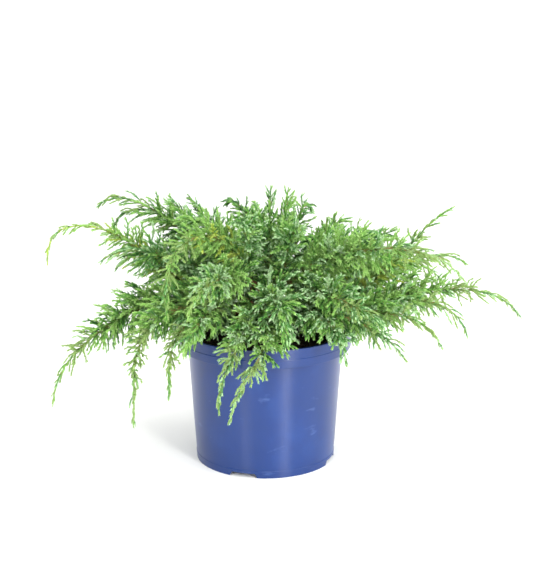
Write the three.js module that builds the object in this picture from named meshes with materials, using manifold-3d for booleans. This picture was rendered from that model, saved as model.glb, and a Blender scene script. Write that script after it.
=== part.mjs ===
// Potted blue carpet flaky juniper: a low, wide-spreading conifer in a blue nursery pot.
// Millimetres, +Z up. The origin is the centre of the pot's underside, on the ground.
// Bearings are degrees around +Z from +X, the right-hand side; -Y is the front.

import * as THREE from 'three';
import { mergeVertices } from 'three/addons/utils/BufferGeometryUtils.js';
import Module from 'manifold-3d';

const manifold = await Module();
manifold.setup();

// Driving dimensions of the pot
const POT_HEIGHT = 148;
const RIM_RADIUS = 95;
const COLLAR_HEIGHT = 20.4;
const COLLAR_FLARE = 1.0;
const COLLAR_LIP = 3.0;
const COLLAR_THICKNESS = 2.6;
const COLLAR_FLOOR = 3.2;
const WALL_TOP_RADIUS = 84;
const FOOT_RADIUS = 75.7;
const WALL = 1.6;
const FLOOR_UNDERSIDE = 5;
const FLOOR = 2;
const CENTRE_FOOT_RADIUS = 18;
const POT_SEGMENTS = 36;

// Arches cut in the foot skirt, and the drain holes in the floor
const ARCH_COUNT = 4;
const ARCH_FIRST_BEARING = -108;
const ARCH_WIDTH = 26;
const ARCH_HEIGHT = 4.6;
const ARCH_SLOPE = 3;
const ARCH_CUT_DEPTH = 12;
const ARCH_CUT_OUTSIDE = 3;
const DRAIN_COUNT = 8;
const DRAIN_RADIUS = 4;
const DRAIN_RING_RADIUS = 56;
const DRAIN_SIDES = 8;

// Compost, a little below the rim, shrunk a little from the collar, and level where the stem
// stands. Neighbouring pieces keep the clearance between them.
const COMPOST_TOP = 136;
const COMPOST_DIPS = 2.4;
const COMPOST_LEVEL_RADIUS = 18;
const COMPOST_SHRINKAGE = 1.6;
const COMPOST_RINGS = [1, 0.72, 0.45];
const CLEARANCE = 0.3;
const WALL_CLEARANCE = 0.4;

// The short stem, its flare and its lean to the right
const STEM_FOOT = new THREE.Vector3(-3, 1, COMPOST_TOP + CLEARANCE);
const STEM_LEAN_BEARING = 20;
const STEM_LEAN = 8;
const STEM_LENGTH = 46;
const STEM_FLARE_RADIUS = 9.5;
const STEM_RADIUS = 6.2;
const STEM_TIP_RADIUS = 4.2;
const STEM_FLARE_FALL = 7;
const STEM_SIDES = 10;
const STEM_STEPS = 6;
const STEM_CUT_OFF = 4;

// Boughs, and the leading twigs that go on from their tips
const LOW_BOUGH_RADIUS = 3.9;
const UPPER_BOUGH_RADIUS = 3.1;
const BOUGH_TIP_RADIUS = 3.0;
const BOUGH_SIDES = 6;
const BOUGH_STEPS = 5;
const BOUGH_BEND = 1.3;
const BOUGH_SUNK = 2;
const TWIG_RADIUS = 1.15;
const TWIG_FAN_RADIUS = 1.85;
const STEM_FAN_RADIUS = 2.6;
const TWIG_STRAIGHT = 3;

// A leader nods over its last quarter
const LEADER_STEPS = 16;
const NOD_FROM = 0.75;
const NOD = 26;
const STEEPEST = 88;

// The leading shoot of a mass: rings of three corners, wide where needles stand out. Its inner
// part is bushy and its tip slim.
const LEADER_SIDES = 3;
const BUSHY_REACH = 12;
const TIP_REACH = 3;
const BUSHY_FALL = 0.75;
const CORE_SHARE = 0.42;
const THINNEST = 0.8;
const CLAD_FROM = 0.12;
const WHORL_STEP = 12;

// Side sprays: toothed blades with a ridge along one side. Each ring of a blade has a share of
// its half width; the teeth are where the shares rise and fall. The golden leaders are this
// year's strong growth, and their sprays are still short.
const SPRAY_FROM = 0.07;
const SPRAY_TO = 0.84;
const SPRAY_SPACING = 20.5;
const SPRAY_LONGEST = 66;
const SPRAY_LENGTH_SHARE = 0.46;
const SPRAY_TAPER = 0.8;
const SPRAY_SHORTEST = 14;
const YOUNG_SPRAYS = 0.6;
const SPRAY_SPREAD = 54;
const SPRAY_SPREAD_AT_TIP = 26;
const SPRAY_CLOSE = 22;
const SPRAY_SAG = 10;
const SPRAY_JITTER = 0.3;
const SPRAY_RINGS = [0.12, 1, 0.45, 0.84];
const SPRAY_SLIMNESS = 0.21;
const SPRAY_RIDGE = 1.5;
const SPRAY_CORNERS = 3;
const GOLDEN_ANGLE = 137.5;
const TRY_TURNS = [0, 60, -60, 120, -120, 180];
const TURN_JITTER = 60;
const ROLLS_PER_TURN = 3;
const LOOK_AHEAD = 0.04;
const TRY_LENGTHS = [1, 0.78, 0.6, 0.45];
const SPACE_GAP = 0.5;
const RIM_GAP = 2;

// Colours and finishes
const POT_BLUE = 0x3f5fae;
const COMPOST_BROWN = 0x2b211a;
const BARK_BROWN = 0x7a5638;
const FOLIAGE = { blue: 0x6f9c8c, green: 0x5c9046, fresh: 0x86b050, gold: 0xa9bf55 };

// Each bough leaves the stem at a height above the compost, and carries the leaders listed
// with it: bearing, rise, length, droop, bend, sweep and tint. Rise is the angle at which a
// limb sets out, droop how far it has come down at its tip, bend how late that happens, and
// sweep how far its bearing turns. The long leaders follow the plant's outline.
const BOUGHS = [
  { name: 'right', height: 8, bearing: 2, rise: 34, length: 46, droop: 22, leaders: [
    [-6, 12, 245, 45, 2.8, 12, 'green'],
    [-24, -10, 209, -68, 0.3, 0, 'gold'],
    [14, 25, 195, 40, 3.0, 0, 'green'],
  ] },
  { name: 'back_right', height: 19, bearing: 46, rise: 34, length: 44, droop: 22, leaders: [
    [30, 26, 212, 60, 1.2, -8, 'green'],
    [46, 32, 175, 50, 1.8, 0, 'blue'],
    [62, 14, 185, 55, 1.8, 0, 'green'],
  ] },
  { name: 'back', height: 9, bearing: 92, rise: 34, length: 46, droop: 22, leaders: [
    [78, 34, 165, 60, 1.8, 0, 'blue'],
    [96, 14, 180, 65, 1.6, 0, 'green'],
    [114, 30, 170, 60, 1.8, 0, 'blue'],
  ] },
  { name: 'back_left', height: 20, bearing: 138, rise: 34, length: 46, droop: 20, leaders: [
    [132, 14, 180, 65, 1.7, 0, 'green'],
    [150, 35, 172, 65, 1.1, 0, 'blue'],
    [170, 52, 182, 109, 3.0, 0, 'blue'],
  ] },
  { name: 'left', height: 8, bearing: 182, rise: 34, length: 48, droop: 20, leaders: [
    [184, 42, 240, 142, 4.0, 0, 'gold'],
    [193, 72, 158, 85, 0.9, 0, 'blue'],
    [202, 44, 235, 105, 0.6, 0, 'green'],
  ] },
  { name: 'front_left', height: 19, bearing: 224, rise: 30, length: 46, droop: 24, leaders: [
    [212, 28, 210, 180, 1.3, 0, 'green'],
    [228, 28, 155, 160, 1.3, 0, 'green'],
    [243, 45, 115, 95, 0.7, 0, 'fresh'],
  ] },
  { name: 'front', height: 9, bearing: 268, rise: 36, length: 42, droop: 24, leaders: [
    [258, 51, 140, 130, 0.5, -42, 'fresh'],
    [288, 55, 145, 115, 0.3, -94, 'fresh'],
    [290, 67, 115, 180, 1.3, 0, 'blue'],
  ] },
  { name: 'front_right', height: 20, bearing: 314, rise: 30, length: 46, droop: 24, leaders: [
    [300, 26, 120, 90, 1.2, 0, 'blue'],
    [315, 23, 160, 45, 0.6, 0, 'blue'],
    [330, 11, 180, 55, 3.2, 0, 'green'],
    [345, 13, 200, 70, 3.4, 0, 'green'],
  ] },
  { name: 'upper_right', height: 29, bearing: 20, rise: 54, length: 44, droop: 14, leaders: [
    [20, 53, 90, 30, 3.2, 0, 'green'],
    [-6, 26, 120, -15, 2.6, 0, 'green'],
    [58, 88, 99, 160, 4.0, 0, 'blue'],
  ] },
  { name: 'upper_back', height: 36, bearing: 95, rise: 54, length: 42, droop: 14, leaders: [
    [57, 53, 85, -3, 1.6, 0, 'blue'],
    [98, 54, 105, 50, 1.6, 0, 'green'],
    [128, 65, 105, 90, 2.5, 0, 'blue'],
  ] },
  { name: 'upper_left', height: 30, bearing: 165, rise: 54, length: 46, droop: 14, leaders: [
    [146, 55, 100, 5, 1.8, 0, 'blue'],
    [163, 39, 185, 60, 3.2, 0, 'green'],
    [184, 52, 110, 0, 1.0, 0, 'blue'],
  ] },
  { name: 'upper_front_left', height: 38, bearing: 235, rise: 54, length: 42, droop: 14, leaders: [
    [188, 65, 110, 70, 2.0, 0, 'green'],
    [218, 64, 195, 235, 1.6, 0, 'gold'],
    [244, 18, 145, 55, 1.8, 0, 'fresh'],
    [258, 74, 110, 70, 1.8, 0, 'blue'],
  ] },
  { name: 'upper_front_right', height: 33, bearing: 305, rise: 54, length: 44, droop: 14, leaders: [
    [286, 72, 105, 70, 1.8, 0, 'blue'],
    [308, 7, 160, 15, 0.6, 0, 'blue'],
    [332, 34, 222, 60, 1.4, 0, 'green'],
  ] },
];

// The stem's own tip carries the two leaders of the crown's highest point.
const TOP_LEADERS = [
  [337, 73, 118, -28, 1.8, 0, 'green'],
  [300, 78, 118, -35, 1.6, 0, 'fresh'],
];

const radians = THREE.MathUtils.degToRad;

// A small seeded generator, so that the plant comes out the same each time.
const RANDOM_SEED = 2011;
const RANDOM_RANGE = 4294967296;
let randomState = RANDOM_SEED;

function random() {
  randomState = (Math.imul(randomState, 1664525) + 1013904223) >>> 0;
  return randomState / RANDOM_RANGE;
}

function direction(bearing, rise) {
  const b = radians(bearing);
  const e = radians(rise);
  return new THREE.Vector3(Math.cos(e) * Math.cos(b), Math.cos(e) * Math.sin(b), Math.sin(e));
}

// The points of one limb, stepped along a direction that droops and turns on its way.
function limbPath(start, { bearing, rise, length, droop, bend, sweep = 0, nod = 0 }, steps) {
  const points = [start.clone()];
  for (let i = 0; i < steps; i += 1) {
    const t = (i + 0.5) / steps;
    const nodding = nod * Math.max(0, (t - NOD_FROM) / (1 - NOD_FROM));
    const angle = THREE.MathUtils.clamp(rise - droop * t ** bend - nodding, -STEEPEST, STEEPEST);
    const step = direction(bearing + sweep * t, angle).multiplyScalar(length / steps);
    points.push(points[i].clone().add(step));
  }
  return points;
}

// Unit directions along a path, one at each of its points.
function tangents(points) {
  return points.map((point, i) => {
    const before = points[Math.max(0, i - 1)];
    const after = points[Math.min(points.length - 1, i + 1)];
    return after.clone().sub(before).normalize();
  });
}

function anyPerpendicular(axis) {
  const helper = Math.abs(axis.z) < 0.9 ? new THREE.Vector3(0, 0, 1) : new THREE.Vector3(1, 0, 0);
  return helper.cross(axis).normalize();
}

// The corners of a round section, as offsets across a path.
function roundSection(radius, sides, turn = 0) {
  return Array.from({ length: sides }, (unused, k) => {
    const angle = (2 * Math.PI * (k + turn)) / sides;
    return [radius * Math.cos(angle), radius * Math.sin(angle)];
  });
}

// A closed solid through one section at each point of a path. Sections all have the same
// number of corners. A pointed solid ends in a tip past its last section.
function loft(points, sections, { pointed = false, across = null } = {}) {
  const along = tangents(points);
  const sides = sections[0].length;
  const corners = [];
  const faces = [];
  let first = across ?? anyPerpendicular(along[0]);
  sections.forEach((section, i) => {
    first = first.clone().addScaledVector(along[i], -first.dot(along[i])).normalize();
    const second = along[i].clone().cross(first);
    for (const [x, y] of section) {
      corners.push(points[i].clone().addScaledVector(first, x).addScaledVector(second, y));
    }
  });
  for (let i = 0; i + 1 < sections.length; i += 1) {
    for (let k = 0; k < sides; k += 1) {
      const a = i * sides + k;
      const b = i * sides + ((k + 1) % sides);
      faces.push(a, b, a + sides, b, b + sides, a + sides);
    }
  }
  const last = (sections.length - 1) * sides;
  for (let k = 1; k + 1 < sides; k += 1) {
    faces.push(0, k + 1, k);
    if (!pointed) {
      faces.push(last, last + k, last + k + 1);
    }
  }
  if (pointed) {
    const tip = corners.length;
    corners.push(points[points.length - 1].clone());
    for (let k = 0; k < sides; k += 1) {
      faces.push(last + k, last + ((k + 1) % sides), tip);
    }
  }
  const geometry = new THREE.BufferGeometry().setFromPoints(corners);
  geometry.setIndex(faces);
  return geometry;
}

function toSolid(geometry) {
  const bare = geometry.clone();
  bare.deleteAttribute('normal');
  bare.deleteAttribute('uv');
  const merged = mergeVertices(bare);
  const vertProperties = new Float32Array(merged.attributes.position.array);
  const triVerts = new Uint32Array(merged.index.array);
  return new manifold.Manifold(new manifold.Mesh({ numProp: 3, vertProperties, triVerts }));
}

function toGeometry(solid) {
  const mesh = solid.getMesh();
  const corners = new Float32Array(mesh.vertProperties);
  const geometry = new THREE.BufferGeometry();
  geometry.setAttribute('position', new THREE.BufferAttribute(corners, 3));
  geometry.setIndex(Array.from(mesh.triVerts));
  geometry.computeVertexNormals();
  return geometry;
}

// The largest body of a fused solid: loose scraps and the walls of sealed hollows are dropped.
function mainBody(solid) {
  return solid.decompose().reduce((best, body) => (body.volume() > best.volume() ? body : best));
}

const model = new THREE.Group();

function addPart(name, geometry, color, roughness) {
  const material = new THREE.MeshStandardMaterial({ color, roughness, metalness: 0 });
  const mesh = new THREE.Mesh(geometry, material);
  mesh.name = name;
  model.add(mesh);
}

// A closed solid turned round the Z axis from a profile of radius and height pairs.
function turned(profile) {
  const outline = profile.map(([radius, height]) => new THREE.Vector2(radius, height));
  return new THREE.LatheGeometry(outline, POT_SEGMENTS).rotateX(Math.PI / 2);
}

const FLOOR_TOP = FLOOR_UNDERSIDE + FLOOR;
const COLLAR_UNDERSIDE = POT_HEIGHT - COLLAR_HEIGHT;
const COLLAR_INNER_RADIUS = RIM_RADIUS - COLLAR_FLARE - COLLAR_THICKNESS;

function outerWallRadius(height) {
  return THREE.MathUtils.lerp(FOOT_RADIUS, WALL_TOP_RADIUS, height / COLLAR_UNDERSIDE);
}

// A cutter for one notch in the foot skirt: a low trapezium, wide side down, that reaches in
// through the skirt from just outside it.
function footArch(bearing) {
  const half = ARCH_WIDTH / 2;
  const outline = new THREE.Shape();
  outline.moveTo(-half - ARCH_SLOPE, -1);
  outline.lineTo(half + ARCH_SLOPE, -1);
  outline.lineTo(half, ARCH_HEIGHT);
  outline.lineTo(-half, ARCH_HEIGHT);
  const prism = new THREE.ExtrudeGeometry(outline, { depth: ARCH_CUT_DEPTH, bevelEnabled: false });
  prism.rotateX(Math.PI / 2);
  prism.translate(0, ARCH_CUT_DEPTH - ARCH_CUT_OUTSIDE - FOOT_RADIUS, 0);
  prism.rotateZ(radians(bearing + 90));
  return toSolid(prism);
}

function drainHole(bearing) {
  const height = FLOOR * 3;
  const hole = new THREE.CylinderGeometry(DRAIN_RADIUS, DRAIN_RADIUS, height, DRAIN_SIDES);
  hole.rotateX(Math.PI / 2);
  const place = direction(bearing, 0).multiplyScalar(DRAIN_RING_RADIUS);
  hole.translate(place.x, place.y, FLOOR_UNDERSIDE + FLOOR / 2);
  return toSolid(hole);
}

// The pot: a tapered wall on a notched skirt, a raised floor with a round centre foot, and
// a hollow collar that steps out below the rim.
function makePot() {
  const inner = (height) => outerWallRadius(height) - WALL;
  const profile = [
    [0, 0],
    [CENTRE_FOOT_RADIUS, 0],
    [CENTRE_FOOT_RADIUS, FLOOR_UNDERSIDE],
    [inner(0), FLOOR_UNDERSIDE],
    [inner(0), 0],
    [FOOT_RADIUS, 0],
    [outerWallRadius(COLLAR_UNDERSIDE), COLLAR_UNDERSIDE],
    [RIM_RADIUS - COLLAR_FLARE, COLLAR_UNDERSIDE],
    [RIM_RADIUS, POT_HEIGHT],
    [RIM_RADIUS - COLLAR_LIP, POT_HEIGHT],
    [COLLAR_INNER_RADIUS, COLLAR_UNDERSIDE + COLLAR_FLOOR],
    [inner(COLLAR_UNDERSIDE), COLLAR_UNDERSIDE + WALL],
    [inner(FLOOR_TOP), FLOOR_TOP],
    [0, FLOOR_TOP],
  ];
  let solid = toSolid(turned(profile));
  for (let i = 0; i < ARCH_COUNT; i += 1) {
    solid = solid.subtract(footArch(ARCH_FIRST_BEARING + (360 / ARCH_COUNT) * i));
  }
  for (let i = 0; i < DRAIN_COUNT; i += 1) {
    solid = solid.subtract(drainHole((360 / DRAIN_COUNT) * (i + 0.5)));
  }
  addPart('pot', toGeometry(solid), POT_BLUE, 0.42);
}

// Moist compost that fills the pot to just below the rim. Its top dips here and there by a
// millimetre or two, apart from the level patch that the stem stands on.
function makeCompost() {
  const inner = (height) => outerWallRadius(height) - WALL - WALL_CLEARANCE;
  const edge = COLLAR_INNER_RADIUS - COMPOST_SHRINKAGE;
  const profile = [
    [0, FLOOR_TOP + CLEARANCE],
    [inner(FLOOR_TOP), FLOOR_TOP + CLEARANCE],
    [inner(COLLAR_UNDERSIDE), COLLAR_UNDERSIDE + WALL],
    [edge, COLLAR_UNDERSIDE + COLLAR_FLOOR + CLEARANCE],
    ...COMPOST_RINGS.map((share) => [edge * share, COMPOST_TOP]),
    [COMPOST_LEVEL_RADIUS, COMPOST_TOP],
    [0, COMPOST_TOP],
  ];
  const geometry = toGeometry(toSolid(turned(profile)));
  const position = geometry.attributes.position;
  for (let i = 0; i < position.count; i += 1) {
    const radius = Math.hypot(position.getX(i), position.getY(i));
    if (position.getZ(i) > COMPOST_TOP - CLEARANCE && radius > COMPOST_LEVEL_RADIUS + 1) {
      position.setZ(i, COMPOST_TOP - COMPOST_DIPS * random());
    }
  }
  addPart('potting_compost', geometry, COMPOST_BROWN, 0.95);
}

const STEM_RISE = 90 - STEM_LEAN;
const STEM = {
  bearing: STEM_LEAN_BEARING,
  rise: STEM_RISE,
  length: STEM_LENGTH,
  droop: 0,
  bend: 1,
};
const stemPath = limbPath(STEM_FOOT, STEM, STEM_STEPS);

// The stem's radius falls quickly over the flare, then evenly to the fork.
function stemRadius(share) {
  const flare = (STEM_FLARE_RADIUS - STEM_RADIUS) * Math.exp(-share * STEM_FLARE_FALL);
  return THREE.MathUtils.lerp(STEM_RADIUS, STEM_TIP_RADIUS, share) + flare;
}

function stemSection(share, growth = 0) {
  return roundSection(stemRadius(share) + growth, STEM_SIDES);
}

function stemSolid(growth) {
  return toSolid(loft(stemPath, stemPath.map((point, i) => stemSection(i / STEM_STEPS, growth))));
}

// The stem is carried on below its foot and then cut off level there.
function makeStem() {
  const down = direction(STEM_LEAN_BEARING, STEM_RISE).negate();
  const buried = STEM_FOOT.clone().addScaledVector(down, STEM_CUT_OFF);
  const sections = stemPath.map((point, i) => stemSection(i / STEM_STEPS));
  const long = toSolid(loft([buried, ...stemPath], [stemSection(0), ...sections]));
  const size = STEM_FLARE_RADIUS * 4;
  const below = new THREE.BoxGeometry(size, size, size);
  below.translate(STEM_FOOT.x, STEM_FOOT.y, STEM_FOOT.z - size / 2);
  addPart('stem', toGeometry(long.subtract(toSolid(below))), BARK_BROWN, 0.85);
}

// A bough's centre line sets out from just inside the stem's surface.
function boughPath(bough) {
  const share = bough.height / (STEM_LENGTH * Math.sin(radians(STEM_RISE)));
  const start = stemPath[0].clone().lerp(stemPath[STEM_STEPS], share);
  start.addScaledVector(direction(bough.bearing, 0), stemRadius(share) - BOUGH_SUNK);
  return limbPath(start, { ...bough, bend: BOUGH_BEND }, BOUGH_STEPS);
}

function boughRadius(name, share) {
  const base = name.startsWith('upper') ? UPPER_BOUGH_RADIUS : LOW_BOUGH_RADIUS;
  return THREE.MathUtils.lerp(base, BOUGH_TIP_RADIUS, share);
}

const boughPaths = new Map(BOUGHS.map((bough) => [bough.name, boughPath(bough)]));

// Each bough is cut to the stem's surface with a small clearance.
function makeBoughs() {
  const cleared = stemSolid(CLEARANCE);
  for (const bough of BOUGHS) {
    const path = boughPaths.get(bough.name);
    const sections = path.map((point, i) => {
      return roundSection(boughRadius(bough.name, i / BOUGH_STEPS), BOUGH_SIDES);
    });
    const solid = toSolid(loft(path, sections)).subtract(cleared);
    addPart(`bough_${bough.name}`, toGeometry(mainBody(solid)), BARK_BROWN, 0.85);
  }
}

// Starting points for the leaders at a limb's tip. They share the tip's end like the seats
// round a table, in the order in which their directions fan out, so no two paths cross.
function fanOut(tip, axis, headings, radius) {
  const u = anyPerpendicular(axis);
  const v = axis.clone().cross(u);
  const middle = headings.reduce((sum, heading) => sum.add(heading), new THREE.Vector3());
  middle.divideScalar(headings.length);
  const angles = headings.map((heading) => {
    const off = heading.clone().sub(middle);
    return Math.atan2(off.dot(v), off.dot(u));
  });
  const order = angles.map((angle, i) => i).sort((a, b) => angles[a] - angles[b]);
  const seat = (2 * Math.PI) / headings.length;
  let sine = 0;
  let cosine = 0;
  order.forEach((i, k) => {
    sine += Math.sin(angles[i] - seat * k);
    cosine += Math.cos(angles[i] - seat * k);
  });
  const turn = Math.atan2(sine, cosine);
  const starts = [];
  order.forEach((i, k) => {
    const angle = turn + seat * k;
    starts[i] = tip.clone().addScaledVector(axis, CLEARANCE);
    starts[i].addScaledVector(u, radius * Math.cos(angle));
    starts[i].addScaledVector(v, radius * Math.sin(angle));
  });
  return starts;
}

// One leader's path: a short straight start along its limb, then its own way.
function leaderPath(start, axis, row) {
  const [bearing, rise, length, droop, bend, sweep] = row;
  const free = start.clone().addScaledVector(axis, TWIG_STRAIGHT);
  const course = { bearing, rise, length, droop, bend, sweep, nod: NOD };
  return [start, ...limbPath(free, course, LEADER_STEPS)];
}

function leadersOf(name, path, rows, radius) {
  const tip = path[path.length - 1];
  const axis = tip.clone().sub(path[path.length - 2]).normalize();
  const headings = rows.map(([bearing, rise]) => direction(bearing, rise));
  const starts = fanOut(tip, axis, headings, radius);
  return rows.map((row, i) => ({
    name: `foliage_${name}_${i + 1}`,
    tint: row[6],
    length: row[2],
    path: leaderPath(starts[i], axis, row),
  }));
}

const leaders = BOUGHS.flatMap(
  ({ name, leaders: rows }) => leadersOf(name, boughPaths.get(name), rows, TWIG_FAN_RADIUS),
);
leaders.push(...leadersOf('top', stemPath, TOP_LEADERS, STEM_FAN_RADIUS));

function distanceToPath(point, path) {
  let nearest = Infinity;
  const line = new THREE.Line3();
  const foot = new THREE.Vector3();
  for (let i = 0; i + 1 < path.length; i += 1) {
    line.set(path[i], path[i + 1]);
    line.closestPointToPoint(point, true, foot);
    nearest = Math.min(nearest, foot.distanceTo(point));
  }
  return nearest;
}

const limbs = [
  { path: stemPath, radius: STEM_FLARE_RADIUS },
  ...Array.from(boughPaths.values(), (path) => ({ path, radius: LOW_BOUGH_RADIUS })),
];

// A leader keeps to the space that lies nearer to it than to any other leader. This is the
// room round a point there: how thick a shoot may be before it leaves that space.
function roomAround(point, own) {
  const ownDistance = distanceToPath(point, own.path);
  let room = Infinity;
  for (const leader of leaders) {
    if (leader !== own) {
      room = Math.min(room, (distanceToPath(point, leader.path) - ownDistance - SPACE_GAP) / 2);
    }
  }
  return room;
}

function clearOfLimbs(point) {
  return limbs.every(({ path, radius }) => distanceToPath(point, path) > radius + SPACE_GAP);
}

// How far a point lies from the pot and its compost, taken together as a plain cylinder.
function distanceToPot(point) {
  const across = Math.max(Math.hypot(point.x, point.y) - RIM_RADIUS, 0);
  return Math.hypot(across, Math.max(point.z - POT_HEIGHT, 0));
}

function pointAlong(path, share) {
  const place = share * (path.length - 1);
  const i = Math.min(Math.floor(place), path.length - 2);
  return path[i].clone().lerp(path[i + 1], place - i);
}

// The corners of a lofted solid past its root, and the middles of its edges along the path.
function outerPoints(geometry, sides) {
  const position = geometry.attributes.position;
  const points = [];
  for (let i = sides; i < position.count; i += 1) {
    const corner = new THREE.Vector3().fromBufferAttribute(position, i);
    const before = new THREE.Vector3().fromBufferAttribute(position, i - sides);
    points.push(corner, before.lerp(corner, 0.5));
  }
  return points;
}

// The leading shoot of a mass: a bare twig where it starts, then clad in whorls to its tip.
function leaderSolid(leader) {
  const cladLength = leader.length * (1 - CLAD_FROM);
  const rings = Math.round(cladLength / WHORL_STEP / 2) * 2;
  const shares = [0, 1 / (LEADER_STEPS + 1)];
  for (let i = 0; i < rings; i += 1) {
    shares.push(CLAD_FROM + ((1 - CLAD_FROM) * i) / rings);
  }
  const sections = shares.map((share, i) => {
    const point = pointAlong(leader.path, share);
    const free = Math.min(roomAround(point, leader), distanceToPot(point) - RIM_GAP);
    const room = Math.max(THINNEST, free);
    const reach = THREE.MathUtils.lerp(BUSHY_REACH, TIP_REACH, share ** BUSHY_FALL);
    const outer = Math.min(reach, room);
    const clad = i % 2 === 1 ? outer : Math.max(THINNEST, outer * CORE_SHARE);
    const radius = share <= CLAD_FROM ? Math.min(TWIG_RADIUS, room) : clad;
    return roundSection(radius, LEADER_SIDES, i / 2);
  });
  const points = [...shares, 1].map((share) => pointAlong(leader.path, share));
  return toSolid(loft(points, sections, { pointed: true }));
}

// The direction of a leader at a share of its way.
function headingAlong(leader, share) {
  const middle = THREE.MathUtils.clamp(share, LOOK_AHEAD, 1 - LOOK_AHEAD);
  const ahead = pointAlong(leader.path, middle + LOOK_AHEAD);
  return ahead.sub(pointAlong(leader.path, middle - LOOK_AHEAD)).normalize();
}

// One side spray: it leaves the leader at an angle, wide near the bough and narrow near the
// leader's tip. On its way it follows the leader's own bends, closes up to them and sags.
function sprayBlade(leader, share, turn, length) {
  const axis = headingAlong(leader, share);
  const out = anyPerpendicular(axis).applyAxisAngle(axis, radians(turn));
  const spread = THREE.MathUtils.lerp(SPRAY_SPREAD, SPRAY_SPREAD_AT_TIP, share);
  const points = [pointAlong(leader.path, share)];
  const steps = SPRAY_RINGS.length;
  for (let i = 0; i < steps; i += 1) {
    const t = (i + 0.5) / steps;
    const angle = radians(spread - SPRAY_CLOSE * t);
    const step = headingAlong(leader, share + (length * t) / leader.length);
    step.multiplyScalar(Math.cos(angle));
    step.addScaledVector(out, Math.sin(angle));
    step.z -= Math.sin(radians(SPRAY_SAG)) * t;
    points.push(points[i].clone().addScaledVector(step.normalize(), length / steps));
  }
  const sections = SPRAY_RINGS.map((part) => {
    const half = length * SPRAY_SLIMNESS * part;
    return [[half, -SPRAY_RIDGE / 2], [0, SPRAY_RIDGE / 2], [-half, -SPRAY_RIDGE / 2]];
  });
  const across = out.applyAxisAngle(axis, radians(turn * ROLLS_PER_TURN));
  return loft(points, sections, { pointed: true, across });
}

function bladeFits(blade, leader) {
  return outerPoints(blade, SPRAY_CORNERS).every((point) => {
    const own = roomAround(point, leader) > 0;
    return own && clearOfLimbs(point) && distanceToPot(point) > RIM_GAP;
  });
}

// The side sprays of a leader, set round it by the golden angle. One that would leave the
// mass's own space is turned or shortened, and skipped where that doesn't help.
function sideSprays(leader) {
  const count = Math.round((leader.length * (SPRAY_TO - SPRAY_FROM)) / SPRAY_SPACING);
  const grown = leader.tint === 'gold' ? YOUNG_SPRAYS : 1;
  const longest = grown * Math.min(SPRAY_LONGEST, leader.length * SPRAY_LENGTH_SHARE);
  const sprays = [];
  for (let k = 0; k < count; k += 1) {
    const share = THREE.MathUtils.lerp(SPRAY_FROM, SPRAY_TO, k / (count - 1));
    const vary = 1 + SPRAY_JITTER * (random() - 0.5);
    const wanted = longest * (1 - SPRAY_TAPER * share) * vary;
    const turn = GOLDEN_ANGLE * k + TURN_JITTER * random();
    const tries = TRY_LENGTHS.flatMap((part) => TRY_TURNS.map((more) => [part, more]));
    for (const [part, more] of tries) {
      const length = Math.max(SPRAY_SHORTEST, wanted * part);
      const blade = sprayBlade(leader, share, turn + more, length);
      if (bladeFits(blade, leader)) {
        sprays.push(blade);
        break;
      }
    }
  }
  return sprays;
}

// A mass of foliage: its leader with the side sprays fused on, their roots sunk to its axis.
function makeFoliage() {
  for (const leader of leaders) {
    let solid = leaderSolid(leader);
    for (const blade of sideSprays(leader)) {
      solid = solid.add(toSolid(blade));
    }
    addPart(leader.name, toGeometry(mainBody(solid)), FOLIAGE[leader.tint], 0.7);
  }
}

makePot();
makeCompost();
makeStem();
makeBoughs();
makeFoliage();

export default model;
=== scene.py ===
# %% [markdown]
# # A potted carpet juniper
#
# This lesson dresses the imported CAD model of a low, wide-spreading juniper in its blue nursery
# pot. The CAD model says where everything is. Here the pot gets its moulded edges and its
# satin plastic, the compost its crumbs, the limbs their bark, and every mass of foliage its
# real twigs and needles.

import math

import bpy
import numpy as np
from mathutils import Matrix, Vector


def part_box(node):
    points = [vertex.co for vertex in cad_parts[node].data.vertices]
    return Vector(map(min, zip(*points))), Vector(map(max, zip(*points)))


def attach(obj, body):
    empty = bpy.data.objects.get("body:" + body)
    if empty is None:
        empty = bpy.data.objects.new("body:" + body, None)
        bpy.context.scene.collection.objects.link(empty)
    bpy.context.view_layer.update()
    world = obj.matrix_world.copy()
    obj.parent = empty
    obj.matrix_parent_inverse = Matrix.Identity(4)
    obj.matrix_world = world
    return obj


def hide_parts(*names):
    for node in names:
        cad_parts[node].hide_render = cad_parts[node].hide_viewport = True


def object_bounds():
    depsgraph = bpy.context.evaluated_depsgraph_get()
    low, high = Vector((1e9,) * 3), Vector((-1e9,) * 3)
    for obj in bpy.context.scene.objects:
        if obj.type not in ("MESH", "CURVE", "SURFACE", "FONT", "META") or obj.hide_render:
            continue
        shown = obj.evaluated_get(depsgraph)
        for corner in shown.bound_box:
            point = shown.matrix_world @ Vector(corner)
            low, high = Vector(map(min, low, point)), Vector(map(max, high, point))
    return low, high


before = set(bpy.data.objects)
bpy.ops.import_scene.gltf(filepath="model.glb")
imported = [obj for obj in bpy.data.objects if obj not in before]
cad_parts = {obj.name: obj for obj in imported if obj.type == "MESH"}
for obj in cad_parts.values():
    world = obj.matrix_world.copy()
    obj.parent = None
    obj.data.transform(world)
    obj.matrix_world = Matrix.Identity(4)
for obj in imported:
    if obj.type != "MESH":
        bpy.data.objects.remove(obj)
cad_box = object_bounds()
MM = 0.001
print("CAD nodes:", len(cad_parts), "box:", [tuple(round(v, 3) for v in c) for c in cad_box])

# %% [markdown]
# ## The camera
#
# The photo looks slightly down on the plant, from about 1.6 metres away. The rim of the
# pot gives the angle: a circle seen from higher up draws a rounder ellipse. The lens follows
# from how quickly things shrink with distance, which the pot's height and the two ends of the
# rim show. The lens is given as a focal length in photo pixels and turned into millimetres.

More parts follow.
